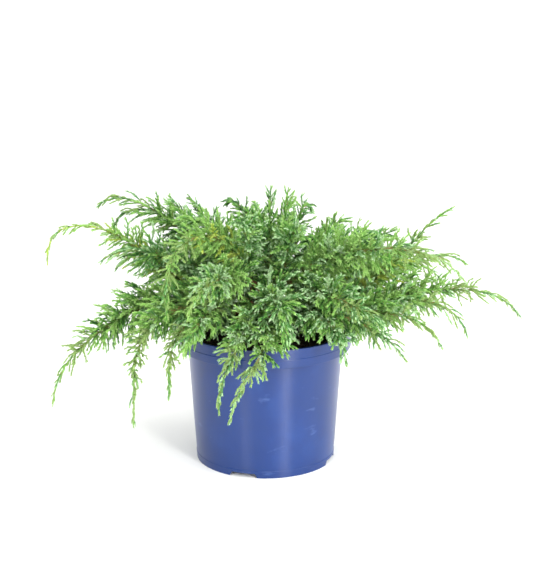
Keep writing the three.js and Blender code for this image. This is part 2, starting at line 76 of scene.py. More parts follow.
# %% Place the camera
PHOTO_HEIGHT = 574
FOCAL_PIXELS = 1534.9
SENSOR = 36.0
CAMERA_PLACE = (0.0085, -1.600, 0.621)
CAMERA_PITCH = 15.05

camera_data = bpy.data.cameras.new("photo_camera")
camera_data.sensor_fit = "VERTICAL"
camera_data.sensor_height = SENSOR
camera_data.lens = FOCAL_PIXELS * SENSOR / PHOTO_HEIGHT
camera = bpy.data.objects.new("photo_camera", camera_data)
camera.location = CAMERA_PLACE
camera.rotation_euler = (math.radians(90 - CAMERA_PITCH), 0, 0)
bpy.context.collection.objects.link(camera)
bpy.context.scene.camera = camera
print("Camera lens:", round(camera_data.lens, 1), "mm")

# %% [markdown]
# ## Floor and light
#
# The plant stands on white in a bright, soft studio. A wide pale floor fills the view, two tall
# soft lights in front draw the two upright sheens on the pot, and a third lights the crown's
# right side. A broad one overhead lights the top of the crown, another keeps the floor behind
# it white, and a pale sky fills the shade.

# %% Helpers to make a material
def srgb(red, green, blue):
    """A colour as read off a screen, from 0 to 255, turned into the values that light uses."""
    shares = [v / 255 for v in (red, green, blue)]
    linear = [v / 12.92 if v <= 0.04045 else ((v + 0.055) / 1.055) ** 2.4 for v in shares]
    return (*linear, 1.0)


def new_material(name, roughness, specular=0.5):
    """An empty material with its shader, ready for a colour pattern."""
    material = bpy.data.materials.new(name)
    material.use_nodes = True
    shader = material.node_tree.nodes["Principled BSDF"]
    shader.inputs["Roughness"].default_value = roughness
    shader.inputs["Specular IOR Level"].default_value = specular
    return material, shader


# %% Lay the floor
FLOOR_SIZE = 30.0

bpy.ops.object.select_all(action="DESELECT")
bpy.ops.mesh.primitive_plane_add(size=FLOOR_SIZE, location=(0, 0, 0))
floor = bpy.context.object
floor.name = "studio_floor"
floor_white, floor_shader = new_material("floor_white", 0.6, 0.3)
floor_shader.inputs["Base Color"].default_value = srgb(249, 249, 247)
floor.data.materials.append(floor_white)
print("Floor:", FLOOR_SIZE, "m wide")

# %% Hang the lights
def soft_light(name, place, aim, size, power):
    """A rectangular soft light that faces a point."""
    data = bpy.data.lights.new(name, "AREA")
    data.shape = "RECTANGLE"
    data.size, data.size_y = size
    data.energy = power
    light = bpy.data.objects.new(name, data)
    light.location = place
    light.rotation_euler = (Vector(aim) - Vector(place)).to_track_quat("-Z", "Y").to_euler()
    bpy.context.collection.objects.link(light)
    return light


AIM, SKY_STRENGTH = (0, 0, 0.15), 0.85
soft_light("front_right_light", (1.03, -1.72, 0.55), AIM, (0.42, 1.7), 46)
soft_light("front_left_light", (-0.98, -1.74, 0.55), AIM, (0.24, 1.7), 20)
soft_light("right_light", (1.7, -0.5, 1.0), AIM, (0.9, 0.9), 11)
soft_light("overhead_light", (0.4, -0.6, 2.1), AIM, (2.0, 2.0), 39)
soft_light("backdrop_light", (0, 4.5, 4.0), (0, 4.0, 0), (8.0, 6.0), 110)

studio = bpy.data.worlds.new("pale_studio")
studio.use_nodes = True
studio.node_tree.nodes["Background"].inputs["Color"].default_value = (1.0, 1.0, 1.0, 1)
studio.node_tree.nodes["Background"].inputs["Strength"].default_value = SKY_STRENGTH
bpy.context.scene.world = studio
bpy.context.scene.view_settings.view_transform = "Standard"

# %% [markdown]
# ## The pot
#
# A nursery pot is one thin moulding: a tapered wall on a notched foot, a raised floor with
# drain holes, and a collar that steps out below the rim. The quickest way to a round piece is
# to draw one ring and to extrude, lift and scale it along the profile, as a potter pulls a
# wall. The first ring is a filled disc under the centre foot, and the same disc ends up as
# the floor inside, so the solid is closed all the way round.

# %% Helpers that pull a round piece and soften its edges
def pulled_rings(name, rings, segments):
    """A closed round piece: each ring is a radius and a height in millimetres."""
    bpy.ops.object.select_all(action="DESELECT")
    radius, height = rings[0]
    bpy.ops.mesh.primitive_circle_add(
        vertices=segments, radius=radius * MM, fill_type="NGON", location=(0, 0, height * MM)
    )
    piece = bpy.context.object
    piece.name = name
    bpy.ops.object.transform_apply(location=True, rotation=True, scale=True)
    bpy.ops.object.mode_set(mode="EDIT")
    bpy.ops.mesh.select_all(action="SELECT")
    for (old_radius, old_height), (radius, height) in zip(rings, rings[1:]):
        lift = (0, 0, (height - old_height) * MM)
        bpy.ops.mesh.extrude_region_move(TRANSFORM_OT_translate={"value": lift})
        scale = radius / old_radius
        bpy.ops.transform.resize(value=(scale, scale, 1), center_override=(0, 0, height * MM))
    bpy.ops.mesh.select_all(action="SELECT")
    bpy.ops.mesh.normals_make_consistent(inside=False)
    bpy.ops.object.mode_set(mode="OBJECT")
    return piece


def select_only(piece):
    """Leaves one object selected and active, for the operators that act on the selection."""
    bpy.ops.object.select_all(action="DESELECT")
    piece.select_set(True)
    bpy.context.view_layer.objects.active = piece


def soften(piece, width, angle=30):
    """Rounds the sharp edges by a small bevel and shades the rest smooth, its large faces even."""
    select_only(piece)
    bevel = piece.modifiers.new("softened_edges", "BEVEL")
    bevel.width = width * MM
    bevel.segments = 2
    bevel.limit_method = "ANGLE"
    bevel.angle_limit = math.radians(angle)
    bpy.ops.object.modifier_apply(modifier=bevel.name)
    bpy.ops.object.shade_smooth_by_angle(angle=math.radians(angle))
    even = piece.modifiers.new("even_shading", "WEIGHTED_NORMAL")
    even.keep_sharp = True
    bpy.ops.object.modifier_apply(modifier=even.name)


# %% Pull the pot's wall, collar and floor
pot_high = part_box("pot")[1]
POT_HEIGHT, RIM = pot_high.z / MM, pot_high.x / MM
COLLAR_DEPTH, CENTRE_FOOT = 20.4, 18
COLLAR_FOOT = POT_HEIGHT - COLLAR_DEPTH
WALL_TOP, WALL_FOOT, WALL = 84.0, 75.7, 1.6
FLOOR_UNDER, FLOOR_TOP = 5.0, 7.0
POT_SEGMENTS = 128

pot_rings = [
    (CENTRE_FOOT, 0), (CENTRE_FOOT, FLOOR_UNDER), (WALL_FOOT - WALL, FLOOR_UNDER),
    (WALL_FOOT - WALL, 0), (WALL_FOOT, 0), (WALL_FOOT + 0.5, 7.6), (WALL_FOOT + 0.15, 8.0),
    (WALL_TOP - 0.4, COLLAR_FOOT - 8), (WALL_TOP, COLLAR_FOOT),
    (RIM - 1.8, COLLAR_FOOT), (RIM - 1.4, COLLAR_FOOT + 0.7),
    (RIM - 0.85, POT_HEIGHT - 12.3), (RIM - 0.6, POT_HEIGHT - 11.9),
    (RIM - 0.6, POT_HEIGHT - 11.2), (RIM - 0.85, POT_HEIGHT - 10.8),
    (RIM - 0.3, POT_HEIGHT - 3.4), (RIM - 0.1, POT_HEIGHT - 2.9), (RIM, POT_HEIGHT),
    (RIM - 3, POT_HEIGHT), (RIM - 3.6, COLLAR_FOOT + 3.2),
    (WALL_TOP - WALL, COLLAR_FOOT + WALL), (WALL_FOOT - WALL + 0.5, FLOOR_TOP),
]
pot = pulled_rings("pot_moulding", pot_rings, POT_SEGMENTS)
print("Pot rings:", len(pot_rings), "faces:", len(pot.data.polygons))

# %% [markdown]
# The notches in the foot let water run out from under the pot. Each is a block, narrower at
# its top, taken away from the skirt. The drain holes in the floor are rods taken away.

# %% Cut the notches and the drain holes
NOTCHES, NOTCH_BEARING = 4, -108
NOTCH_WIDTH, NOTCH_HEIGHT, NOTCH_SLOPE, NOTCH_THROUGH = 36.0, 4.8, 5.0, 12
DRAINS, DRAIN_RADIUS, DRAIN_RING, DRAIN_THROUGH = 8, 4.0, 56.0, 8
FLOOR_MIDDLE = (FLOOR_UNDER + FLOOR_TOP) / 2
EDGE_WIDTH = 0.45


def notch_cutter(bearing):
    """A block across the foot skirt, drawn in at its top."""
    turn = math.radians(bearing)
    reach = WALL_FOOT - 2
    bpy.ops.object.select_all(action="DESELECT")
    bpy.ops.mesh.primitive_cube_add(
        size=1,
        location=(reach * math.cos(turn) * MM, reach * math.sin(turn) * MM, 0),
        rotation=(0, 0, turn),
        scale=(NOTCH_THROUGH * MM, NOTCH_WIDTH * MM, 2 * NOTCH_HEIGHT * MM),
    )
    cutter = bpy.context.object
    narrow = 1 - 2 * NOTCH_SLOPE / NOTCH_WIDTH
    for corner in cutter.data.vertices:
        if corner.co.z > 0:
            corner.co.y *= narrow
    bpy.ops.object.transform_apply(location=True, rotation=True, scale=True)
    return cutter


def drain_cutter(bearing):
    """A rod through the floor."""
    x, y = (DRAIN_RING * f(math.radians(bearing)) for f in (math.cos, math.sin))
    bpy.ops.object.select_all(action="DESELECT")
    bpy.ops.mesh.primitive_cylinder_add(
        vertices=20,
        radius=DRAIN_RADIUS * MM,
        depth=DRAIN_THROUGH * MM,
        location=(x * MM, y * MM, FLOOR_MIDDLE * MM),
    )
    bpy.ops.object.transform_apply(location=True, rotation=True, scale=True)
    return bpy.context.object


def cut_away(piece, cutters):
    """Takes joined cutters away from a piece."""
    select_only(cutters[0])
    for cutter in cutters[1:]:
        cutter.select_set(True)
    bpy.ops.object.join()
    tool = bpy.context.object
    select_only(piece)
    cut = piece.modifiers.new("cut", "BOOLEAN")
    cut.operation = "DIFFERENCE"
    cut.solver = "EXACT"
    cut.object = tool
    bpy.ops.object.modifier_apply(modifier=cut.name)
    bpy.data.objects.remove(tool)


notches = [notch_cutter(NOTCH_BEARING + k * 360 / NOTCHES) for k in range(NOTCHES)]
drains = [drain_cutter((k + 0.5) * 360 / DRAINS) for k in range(DRAINS)]
cut_away(pot, notches + drains)
soften(pot, EDGE_WIDTH)
print("Pot faces after the cuts and the softened edges:", len(pot.data.polygons))

# %% [markdown]
# The plastic is a satin blue, a little chalky where it has been handled. A slow noise shifts
# its blue and its roughness, a second one drawn out sideways adds faint scuffs, and a very
# fine relief breaks up the sheen as the skin of moulded polypropylene does. The mould was
# turned on a lathe, so its marks run round the pot and draw each light out into an upright
# streak: the shader's anisotropy does that, along a tangent that runs round the Z axis.

# %% Helpers that lay patterns on a material
def noise(material, scale, detail=4.0, stretch=(1, 1, 1)):
    """A noise pattern on the piece's own place, stretched along its axes."""
    tree = material.node_tree
    place = tree.nodes.new("ShaderNodeTexCoord")
    turn = tree.nodes.new("ShaderNodeMapping")
    turn.inputs["Scale"].default_value = stretch
    pattern = tree.nodes.new("ShaderNodeTexNoise")
    pattern.inputs["Scale"].default_value = scale
    pattern.inputs["Detail"].default_value = detail
    tree.links.new(place.outputs["Object"], turn.inputs["Vector"])
    tree.links.new(turn.outputs["Vector"], pattern.inputs["Vector"])
    return pattern.outputs["Fac"]


def colours_from(material, pattern, stops):
    """Colours dealt out along a pattern, one for each stop."""
    ramp = material.node_tree.nodes.new("ShaderNodeValToRGB")
    while len(ramp.color_ramp.elements) < len(stops):
        ramp.color_ramp.elements.new(0.5)
    for element, (place, colour) in zip(ramp.color_ramp.elements, stops):
        element.position = place
        element.color = colour
    material.node_tree.links.new(pattern, ramp.inputs["Fac"])
    return ramp.outputs["Color"]


def base_colour_from(material, shader, pattern, stops):
    """The shader's base colour, dealt out along a pattern."""
    colours = colours_from(material, pattern, stops)
    material.node_tree.links.new(colours, shader.inputs["Base Color"])


def roughness_from(material, shader, pattern, low, high):
    """Roughness that goes from low to high along a pattern."""
    spread = material.node_tree.nodes.new("ShaderNodeMapRange")
    spread.inputs["To Min"].default_value = low
    spread.inputs["To Max"].default_value = high
    material.node_tree.links.new(pattern, spread.inputs["Value"])
    material.node_tree.links.new(spread.outputs["Result"], shader.inputs["Roughness"])


def bump_from(material, shader, pattern, strength, depth):
    """A relief too fine to model, shown by tilting the light on it."""
    bump = material.node_tree.nodes.new("ShaderNodeBump")
    bump.inputs["Strength"].default_value = strength
    bump.inputs["Distance"].default_value = depth
    material.node_tree.links.new(pattern, bump.inputs["Height"])
    material.node_tree.links.new(bump.outputs["Normal"], shader.inputs["Normal"])


# %% Finish the pot
pot_blue, pot_shader = new_material("pot_blue_plastic", 0.35, 0.5)
clouding = noise(pot_blue, 18, 5)
blues = colours_from(pot_blue, clouding, [
    (0.32, srgb(8, 42, 98)), (0.55, srgb(10, 45, 105)), (0.72, srgb(18, 54, 116)),
])
scuffs = noise(pot_blue, 42, 8, (1, 1, 2.2))
scuff_mask = colours_from(pot_blue, scuffs, [(0.64, (0, 0, 0, 1)), (0.82, (0.45, 0.45, 0.45, 1))])
scuffed = pot_blue.node_tree.nodes.new("ShaderNodeMix")
scuffed.data_type = "RGBA"
scuffed.inputs["B"].default_value = srgb(96, 122, 176)
pot_blue.node_tree.links.new(scuff_mask, scuffed.inputs["Factor"])
pot_blue.node_tree.links.new(blues, scuffed.inputs["A"])
pot_blue.node_tree.links.new(scuffed.outputs["Result"], pot_shader.inputs["Base Color"])
roughness_from(pot_blue, pot_shader, clouding, 0.26, 0.36)
pot_shader.inputs["Anisotropic"].default_value = 0.85
pot_shader.inputs["Anisotropic Rotation"].default_value = 0.25
turning = pot_blue.node_tree.nodes.new("ShaderNodeTangent")
turning.direction_type = "RADIAL"
turning.axis = "Z"
pot_blue.node_tree.links.new(turning.outputs["Tangent"], pot_shader.inputs["Tangent"])
bump_from(pot_blue, pot_shader, noise(pot_blue, 900, 3), 0.04, 0.0004)
pot.data.materials.append(pot_blue)
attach(pot, "root")
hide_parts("pot")
print("Pot finished in", pot_blue.name)

# %% [markdown]
# ## The compost
#
# Compost fills the pot to just below the rim. Its plug is pulled from rings like the pot. The
# top is drawn in ring by ring and lifted by a noise, and fifteen hundred crumbs are scattered
# on it. The crumbs are one joined mesh built from arrays, because so many separate objects
# would be slow and heavy.

# %% Pull the compost's plug and roughen its top
compost_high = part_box("potting_compost")[1]
COMPOST_TOP, COMPOST_EDGE = compost_high.z / MM, compost_high.x / MM
SETTLED_EDGE, SETTLED, LUMP_LIFT = 2.2, 1.2, 3.2
TOP_RINGS, COMPOST_SEGMENTS = 34, 120

compost = pulled_rings("compost_plug", [
    (WALL_FOOT - WALL - 0.4, FLOOR_TOP + 0.3), (WALL_TOP - WALL - 0.6, COLLAR_FOOT + WALL),
    (COMPOST_EDGE, COLLAR_FOOT + 3.6), (COMPOST_EDGE, COMPOST_TOP - SETTLED_EDGE),
    *[(COMPOST_EDGE * s, COMPOST_TOP - SETTLED) for s in np.linspace(0.97, 0.03, TOP_RINGS)],
], COMPOST_SEGMENTS)
select_only(compost)
lumps = bpy.data.textures.new("compost_lumps", "CLOUDS")
lumps.noise_scale = 0.012
lift = compost.modifiers.new("lumps", "DISPLACE")
lift.texture = lumps
lift.texture_coords = "LOCAL"
lift.direction = "Z"
lift.strength = LUMP_LIFT * MM
in_top = [v.index for v in compost.data.vertices if v.co.z > (COMPOST_TOP - SETTLED - 0.3) * MM]
compost.vertex_groups.new(name="top").add(in_top, 1.0, "ADD")
lift.vertex_group = "top"
bpy.ops.object.modifier_apply(modifier=lift.name)
bpy.ops.object.shade_smooth_by_angle(angle=math.radians(60))
print("Compost plug faces:", len(compost.data.polygons))


# %% A helper that makes one mesh from arrays of corners and faces
def mesh_from_arrays(name, corners, faces, material_index=None):
    """One object from corners in millimetres and faces that all have the same number of sides."""
    mesh = bpy.data.meshes.new(name)
    count, sides = faces.shape
    mesh.vertices.add(len(corners))
    mesh.vertices.foreach_set("co", (corners * MM).astype(np.float32).ravel())
    mesh.loops.add(count * sides)
    mesh.loops.foreach_set("vertex_index", faces.astype(np.int32).ravel())
    mesh.polygons.add(count)
    mesh.polygons.foreach_set("loop_start", np.arange(0, count * sides, sides, dtype=np.int32))
    mesh.polygons.foreach_set("use_smooth", np.full(count, False))
    if material_index is not None:
        mesh.polygons.foreach_set("material_index", material_index.astype(np.int32))
    mesh.update(calc_edges=True)
    piece = bpy.data.objects.new(name, mesh)
    bpy.context.collection.objects.link(piece)
    return piece


# %% Scatter the crumbs
CRUMBS, CRUMB_ROOM = 1500, 3
CRUMB_SMALLEST, CRUMB_GROWTH = 0.7, 1.7
CRUMB_SQUEEZE, CRUMB_LIFT = (0.55, 1.25), (-0.6, 0.9)
chance = np.random.default_rng(7)

bpy.ops.object.select_all(action="DESELECT")
bpy.ops.mesh.primitive_ico_sphere_add(subdivisions=1, radius=1)
crumb = bpy.context.object
crumb_corners = np.array([v.co for v in crumb.data.vertices])
crumb_faces = np.array([p.vertices for p in crumb.data.polygons])
bpy.data.objects.remove(crumb)

crumb_radius = (COMPOST_EDGE - CRUMB_ROOM) * np.sqrt(chance.random(CRUMBS))
crumb_bearing = chance.random(CRUMBS) * 2 * np.pi
crumb_size = CRUMB_SMALLEST + CRUMB_GROWTH * chance.random((CRUMBS, 1, 1)) ** 2
crumb_shape = crumb_size * chance.uniform(*CRUMB_SQUEEZE, (CRUMBS, *crumb_corners.shape))
crumb_place = np.stack([
    crumb_radius * np.cos(crumb_bearing),
    crumb_radius * np.sin(crumb_bearing),
    COMPOST_TOP - SETTLED + chance.uniform(*CRUMB_LIFT, CRUMBS),
], axis=1)
all_corners = crumb_corners[None] * crumb_shape + crumb_place[:, None]
all_faces = crumb_faces[None] + len(crumb_corners) * np.arange(CRUMBS)[:, None, None]
crumbs = mesh_from_arrays("compost_crumbs", all_corners.reshape(-1, 3), all_faces.reshape(-1, 3))
print("Crumbs:", CRUMBS, "faces:", len(crumbs.data.polygons))

# %% Finish the compost
compost_brown, compost_shader = new_material("moist_compost", 0.85, 0.3)
grain = noise(compost_brown, 420, 6)
base_colour_from(compost_brown, compost_shader, grain, [
    (0.3, srgb(22, 17, 13)), (0.52, srgb(44, 33, 25)), (0.75, srgb(84, 62, 44)),
])
roughness_from(compost_brown, compost_shader, grain, 0.65, 0.95)
bump_from(compost_brown, compost_shader, grain, 0.7, 0.0012)
for piece in (compost, crumbs):
    piece.data.materials.append(compost_brown)
    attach(piece, "root")
    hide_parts("potting_compost")
print("Compost and crumbs finished in", compost_brown.name)

# %% [markdown]
# ## How the plant grows
#
# Every limb of the plant follows one rule, the same that the CAD source uses. It sets out at a
# bearing and a rise, droops by some angle on its way, and may swing round a little. So a limb
# is a handful of sizes, and its points are worked out from them.

# %% The limb rule
NOD_FROM, NOD, STEEPEST = 0.75, 26, 88


def heading(bearing, rise):
    """A direction from its bearing and its rise, in degrees."""
    b, e = math.radians(bearing), math.radians(rise)
    return np.array([math.cos(e) * math.cos(b), math.cos(e) * math.sin(b), math.sin(e)])


def limb_path(start, bearing, rise, length, droop, bend, sweep, nod, steps):
    """The points of one limb in millimetres."""
    points = [np.array(start, float)]
    for i in range(steps):
        t = (i + 0.5) / steps
        nodding = nod * max(0, (t - NOD_FROM) / (1 - NOD_FROM))
        angle = max(-STEEPEST, min(STEEPEST, rise - droop * t**bend - nodding))
        points.append(points[-1] + heading(bearing + sweep * t, angle) * length / steps)
    return np.array(points)


def unit(vectors):
    """Vectors brought to length one."""
    return vectors / np.maximum(np.linalg.norm(vectors, axis=-1, keepdims=True), 1e-9)


def any_perpendicular(axis):
    """A direction across an axis."""
    helper = np.array([0, 0, 1.0]) if abs(axis[2]) < 0.9 else np.array([1.0, 0, 0])
    return unit(np.cross(helper, axis))


# %% [markdown]
# The rows below are the plant's own sizes. A bough has the height above the compost at which
# it leaves the stem, its bearing, rise, length and droop. Its leaders have their bearing, rise,
# length, droop, how late they bend, how far they swing round, and the tint of their needles.

# %% The plant's limbs
BOUGHS = {
    "right": (8, 2, 34, 46, 22, [
        (-6, 12, 245, 45, 2.8, 12, "green"), (-24, -10, 209, -68, 0.3, 0, "gold"),
        (14, 25, 195, 40, 3.0, 0, "green")]),
    "back_right": (19, 46, 34, 44, 22, [
        (30, 26, 212, 60, 1.2, -8, "green"), (46, 32, 175, 50, 1.8, 0, "blue"),
        (62, 14, 185, 55, 1.8, 0, "green")]),
    "back": (9, 92, 34, 46, 22, [
        (78, 34, 165, 60, 1.8, 0, "blue"), (96, 14, 180, 65, 1.6, 0, "green"),
        (114, 30, 170, 60, 1.8, 0, "blue")]),
    "back_left": (20, 138, 34, 46, 20, [
        (132, 14, 180, 65, 1.7, 0, "green"), (150, 35, 172, 65, 1.1, 0, "blue"),
        (170, 52, 182, 109, 3.0, 0, "blue")]),
    "left": (8, 182, 34, 48, 20, [
        (184, 42, 240, 142, 4.0, 0, "gold"), (193, 72, 158, 85, 0.9, 0, "blue"),
        (202, 44, 235, 105, 0.6, 0, "green")]),
    "front_left": (19, 224, 30, 46, 24, [
        (212, 28, 210, 180, 1.3, 0, "green"), (228, 28, 155, 160, 1.3, 0, "green"),
        (243, 45, 115, 95, 0.7, 0, "fresh")]),
    "front": (9, 268, 36, 42, 24, [
        (258, 51, 140, 130, 0.5, -42, "fresh"), (288, 55, 145, 115, 0.3, -94, "fresh"),
        (290, 67, 115, 180, 1.3, 0, "blue")]),
    "front_right": (20, 314, 30, 46, 24, [
        (300, 26, 120, 90, 1.2, 0, "blue"), (315, 23, 160, 45, 0.6, 0, "blue"),
        (330, 11, 180, 55, 3.2, 0, "green"), (345, 13, 200, 70, 3.4, 0, "green")]),
    "upper_right": (29, 20, 54, 44, 14, [
        (20, 53, 90, 30, 3.2, 0, "green"), (-6, 26, 120, -15, 2.6, 0, "green"),
        (58, 88, 99, 160, 4.0, 0, "blue")]),
    "upper_back": (36, 95, 54, 42, 14, [
        (57, 53, 85, -3, 1.6, 0, "blue"), (98, 54, 105, 50, 1.6, 0, "green"),
        (128, 65, 105, 90, 2.5, 0, "blue")]),
    "upper_left": (30, 165, 54, 46, 14, [
        (146, 55, 100, 5, 1.8, 0, "blue"), (163, 39, 185, 60, 3.2, 0, "green"),
        (184, 52, 110, 0, 1.0, 0, "blue")]),
    "upper_front_left": (38, 235, 54, 42, 14, [
        (188, 65, 110, 70, 2.0, 0, "green"), (218, 64, 195, 235, 1.6, 0, "gold"),
        (244, 18, 145, 55, 1.8, 0, "fresh"), (258, 74, 110, 70, 1.8, 0, "blue")]),
    "upper_front_right": (33, 305, 54, 44, 14, [
        (286, 72, 105, 70, 1.8, 0, "blue"), (308, 7, 160, 15, 0.6, 0, "blue"),
        (332, 34, 222, 60, 1.4, 0, "green")]),
}
TOP_LEADERS = [(337, 73, 118, -28, 1.8, 0, "green"), (300, 78, 118, -35, 1.6, 0, "fresh")]
print("Leaders on the boughs:", sum(len(row[5]) for row in BOUGHS.values()))

# %% Lay out the stem and the boughs
STEM_FOOT, STEM_BEARING, STEM_RISE, STEM_LENGTH = (-3, 1, COMPOST_TOP + 0.3), 20, 82, 46
STEM_FLARE, STEM_RADIUS, STEM_TIP, FLARE_FALL = 9.5, 6.2, 4.2, 7
LOW_BOUGH, UPPER_BOUGH, BOUGH_TIP, BOUGH_BEND, BOUGH_SUNK = 3.9, 3.1, 3.0, 1.3, 2
STEM_STEPS, BOUGH_STEPS = 6, 5


def stem_radius(share):
    """The stem's radius falls quickly over its flare, then evenly to the fork."""
    flare = (STEM_FLARE - STEM_RADIUS) * math.exp(-share * FLARE_FALL)
    return STEM_RADIUS + (STEM_TIP - STEM_RADIUS) * share + flare


def bough_path(height, bearing, rise, length, droop):
    """A bough sets out from just inside the stem."""
    share = height / (STEM_LENGTH * math.sin(math.radians(STEM_RISE)))
    start = stem_path[0] + (stem_path[-1] - stem_path[0]) * share
    start = start + heading(bearing, 0) * (stem_radius(share) - BOUGH_SUNK)
    return limb_path(start, bearing, rise, length, droop, BOUGH_BEND, 0, 0, BOUGH_STEPS)


stem_path = limb_path(STEM_FOOT, STEM_BEARING, STEM_RISE, STEM_LENGTH, 0, 1, 0, 0, STEM_STEPS)
bough_paths = {name: bough_path(*row[:5]) for name, row in BOUGHS.items()}
print("Boughs:", len(bough_paths))

# %% [markdown]
# ## Stem and boughs
#
# An old juniper limb is wrapped in thin bark that splits lengthwise and flakes off. The limbs
# are drawn as curves whose thickness tapers, turned into meshes, and cut finer. Two displace
# modifiers then raise the relief: a coarse one for the strips and a fine one for the flakes.

# %% Draw the limbs and give them bark relief
def limb_mesh(name, path, radii):
    """A tapered limb along a path, as a mesh."""
    curve = bpy.data.curves.new(name, "CURVE")
    curve.dimensions = "3D"
    curve.bevel_depth = MM
    curve.bevel_resolution = 5
    curve.use_fill_caps = True
    line = curve.splines.new("NURBS")
    line.points.add(len(path) - 1)
    for point, place, radius in zip(line.points, path, radii):
        point.co = (*(place * MM), 1)
        point.radius = radius
    line.order_u = 3
    line.use_endpoint_u = True
    line.resolution_u = 6
    limb = bpy.data.objects.new(name, curve)
    bpy.context.collection.objects.link(limb)
    select_only(limb)
    bpy.ops.object.convert(target="MESH")
    return bpy.context.object


stem_share = np.linspace(0, 1, STEM_STEPS + 1)
limb_objects = [limb_mesh("stem_limb", stem_path, [stem_radius(s) for s in stem_share])]
for name, path in bough_paths.items():
    base = UPPER_BOUGH if name.startswith("upper") else LOW_BOUGH
    radii = np.linspace(base, BOUGH_TIP, BOUGH_STEPS + 1)
    limb_objects.append(limb_mesh("bough_limb", path, radii))
select_only(limb_objects[0])
for limb in limb_objects[1:]:
    limb.select_set(True)
bpy.ops.object.join()
limbs = bpy.context.object
limbs.name = "bark_limbs"
finer = limbs.modifiers.new("finer", "SUBSURF")
finer.levels = finer.render_levels = 1
bpy.ops.object.modifier_apply(modifier=finer.name)
for name, scale, depth in (("strips", 0.006, 0.9), ("flakes", 0.0022, 0.5)):
    relief = bpy.data.textures.new(name, "CLOUDS")
    relief.noise_scale = scale
    raised = limbs.modifiers.new(name, "DISPLACE")
    raised.texture = relief
    raised.texture_coords = "LOCAL"
    raised.strength = depth * MM
    bpy.ops.object.modifier_apply(modifier=raised.name)
bpy.ops.object.shade_smooth()
print("Limb faces:", len(limbs.data.polygons))

# %% Finish the bark
bark, bark_shader = new_material("flaky_bark", 0.85, 0.25)
flaking = noise(bark, 260, 7, (1, 1, 0.35))
base_colour_from(bark, bark_shader, flaking, [
    (0.3, srgb(62, 42, 30)), (0.5, srgb(118, 82, 54)), (0.7, srgb(168, 124, 84)),
])
roughness_from(bark, bark_shader, flaking, 0.7, 0.95)
bump_from(bark, bark_shader, flaking, 0.8, 0.0008)
limbs.data.materials.append(bark)
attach(limbs, "root")
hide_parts("stem", *[f"bough_{name}" for name in BOUGHS])
print("Stem and boughs finished in", bark.name)

# %% [markdown]
# ## Leaders
#
# Each bough forks at its tip into leaders, the long shoots that give the plant its outline.
# They sit round the tip like people round a table, in the order in which their directions
# fan out, so none has to cross another.

# %% Set the leaders round their boughs' tips
TWIG_FAN, STEM_FAN, CLEARANCE, TWIG_STRAIGHT, LEADER_STEPS = 1.85, 2.6, 0.3, 3, 16


def fan_out(tip, axis, headings, radius):
    """Starting points for the leaders at a limb's tip."""
    u = any_perpendicular(axis)
    v = np.cross(axis, u)
    off = np.array(headings) - np.mean(headings, axis=0)
    angles = np.arctan2(off @ v, off @ u)
    order = np.argsort(angles, kind="stable")
    seat = 2 * np.pi / len(headings)
    turns = angles[order] - seat * np.arange(len(headings))
    turn = math.atan2(np.sin(turns).sum(), np.cos(turns).sum())
    starts = [None] * len(headings)
    for k, i in enumerate(order):
        angle = turn + seat * k
        starts[i] = tip + axis * CLEARANCE + radius * (u * math.cos(angle) + v * math.sin(angle))
    return starts


def leaders_of(name, path, rows, radius):
    """The leaders at one limb's tip, each with its path and tint."""
    axis = unit(path[-1] - path[-2])
    starts = fan_out(path[-1], axis, [heading(row[0], row[1]) for row in rows], radius)
    made = []
    for k, (row, start) in enumerate(zip(rows, starts)):
        free = start + axis * TWIG_STRAIGHT
        course = limb_path(free, *row[:6], NOD, LEADER_STEPS)
        made.append({
            "name": f"foliage_{name}_{k + 1}",
            "tint": row[6],
            "length": row[2],
            "droop": row[3],
            "path": np.vstack([start, course]),
        })
    return made


leaders = []
for name, row in BOUGHS.items():
    leaders += leaders_of(name, bough_paths[name], row[5], TWIG_FAN)
leaders += leaders_of("top", stem_path, TOP_LEADERS, STEM_FAN)
leader_paths = np.array([leader["path"] for leader in leaders])
print("Leaders:", len(leaders), "they reach", leader_paths.min((0, 1)), leader_paths.max((0, 1)))

# %% [markdown]
# ## Side sprays
#
# Side sprays leave a leader one after another, each turned on from the last by the golden
# angle. A spray must keep to its own leader's space, clear of limbs and of the pot: if it
# doesn't fit, it is turned or shortened. The same seeded draws as in the CAD source give the
# same sprays here, so the dressed plant keeps the outline of its solids.

# %% Distances that a spray has to keep
SPACE_GAP, RIM_GAP = 0.5, 2
POT_RADIUS, POT_TOP = RIM, POT_HEIGHT


def distances(points, path_starts, path_ends):
    """From each point to each segment: an array of points by segments."""
    along = path_ends - path_starts
    length = (along * along).sum(-1)
    share = np.einsum("psk,sk->ps", points[:, None] - path_starts[None], along) / length
    foot = path_starts[None] + np.clip(share, 0, 1)[..., None] * along[None]
    return np.linalg.norm(points[:, None] - foot, axis=-1)


leader_starts = leader_paths[:, :-1].reshape(-1, 3)
leader_ends = leader_paths[:, 1:].reshape(-1, 3)
leader_segments = leader_paths.shape[1] - 1
limb_list = [(stem_path, STEM_FLARE)] + [(path, LOW_BOUGH) for path in bough_paths.values()]
limb_starts = np.vstack([path[:-1] for path, radius in limb_list])
limb_ends = np.vstack([path[1:] for path, radius in limb_list])
limb_radii = np.concatenate([np.full(len(path) - 1, radius) for path, radius in limb_list])


def room_around(points, own):
    """How far each point is inside the space that is nearer to its own leader than to others."""
    near = distances(points, leader_starts, leader_ends)
    near = near.reshape(len(points), len(leaders), leader_segments).min(-1)
    others = np.delete(near, own, axis=1).min(1)
    return (others - near[:, own] - SPACE_GAP) / 2


def clear_of_limbs(points):
    """Whether the points keep clear of the stem and the boughs."""
    return (distances(points, limb_starts, limb_ends) > limb_radii + SPACE_GAP).all()


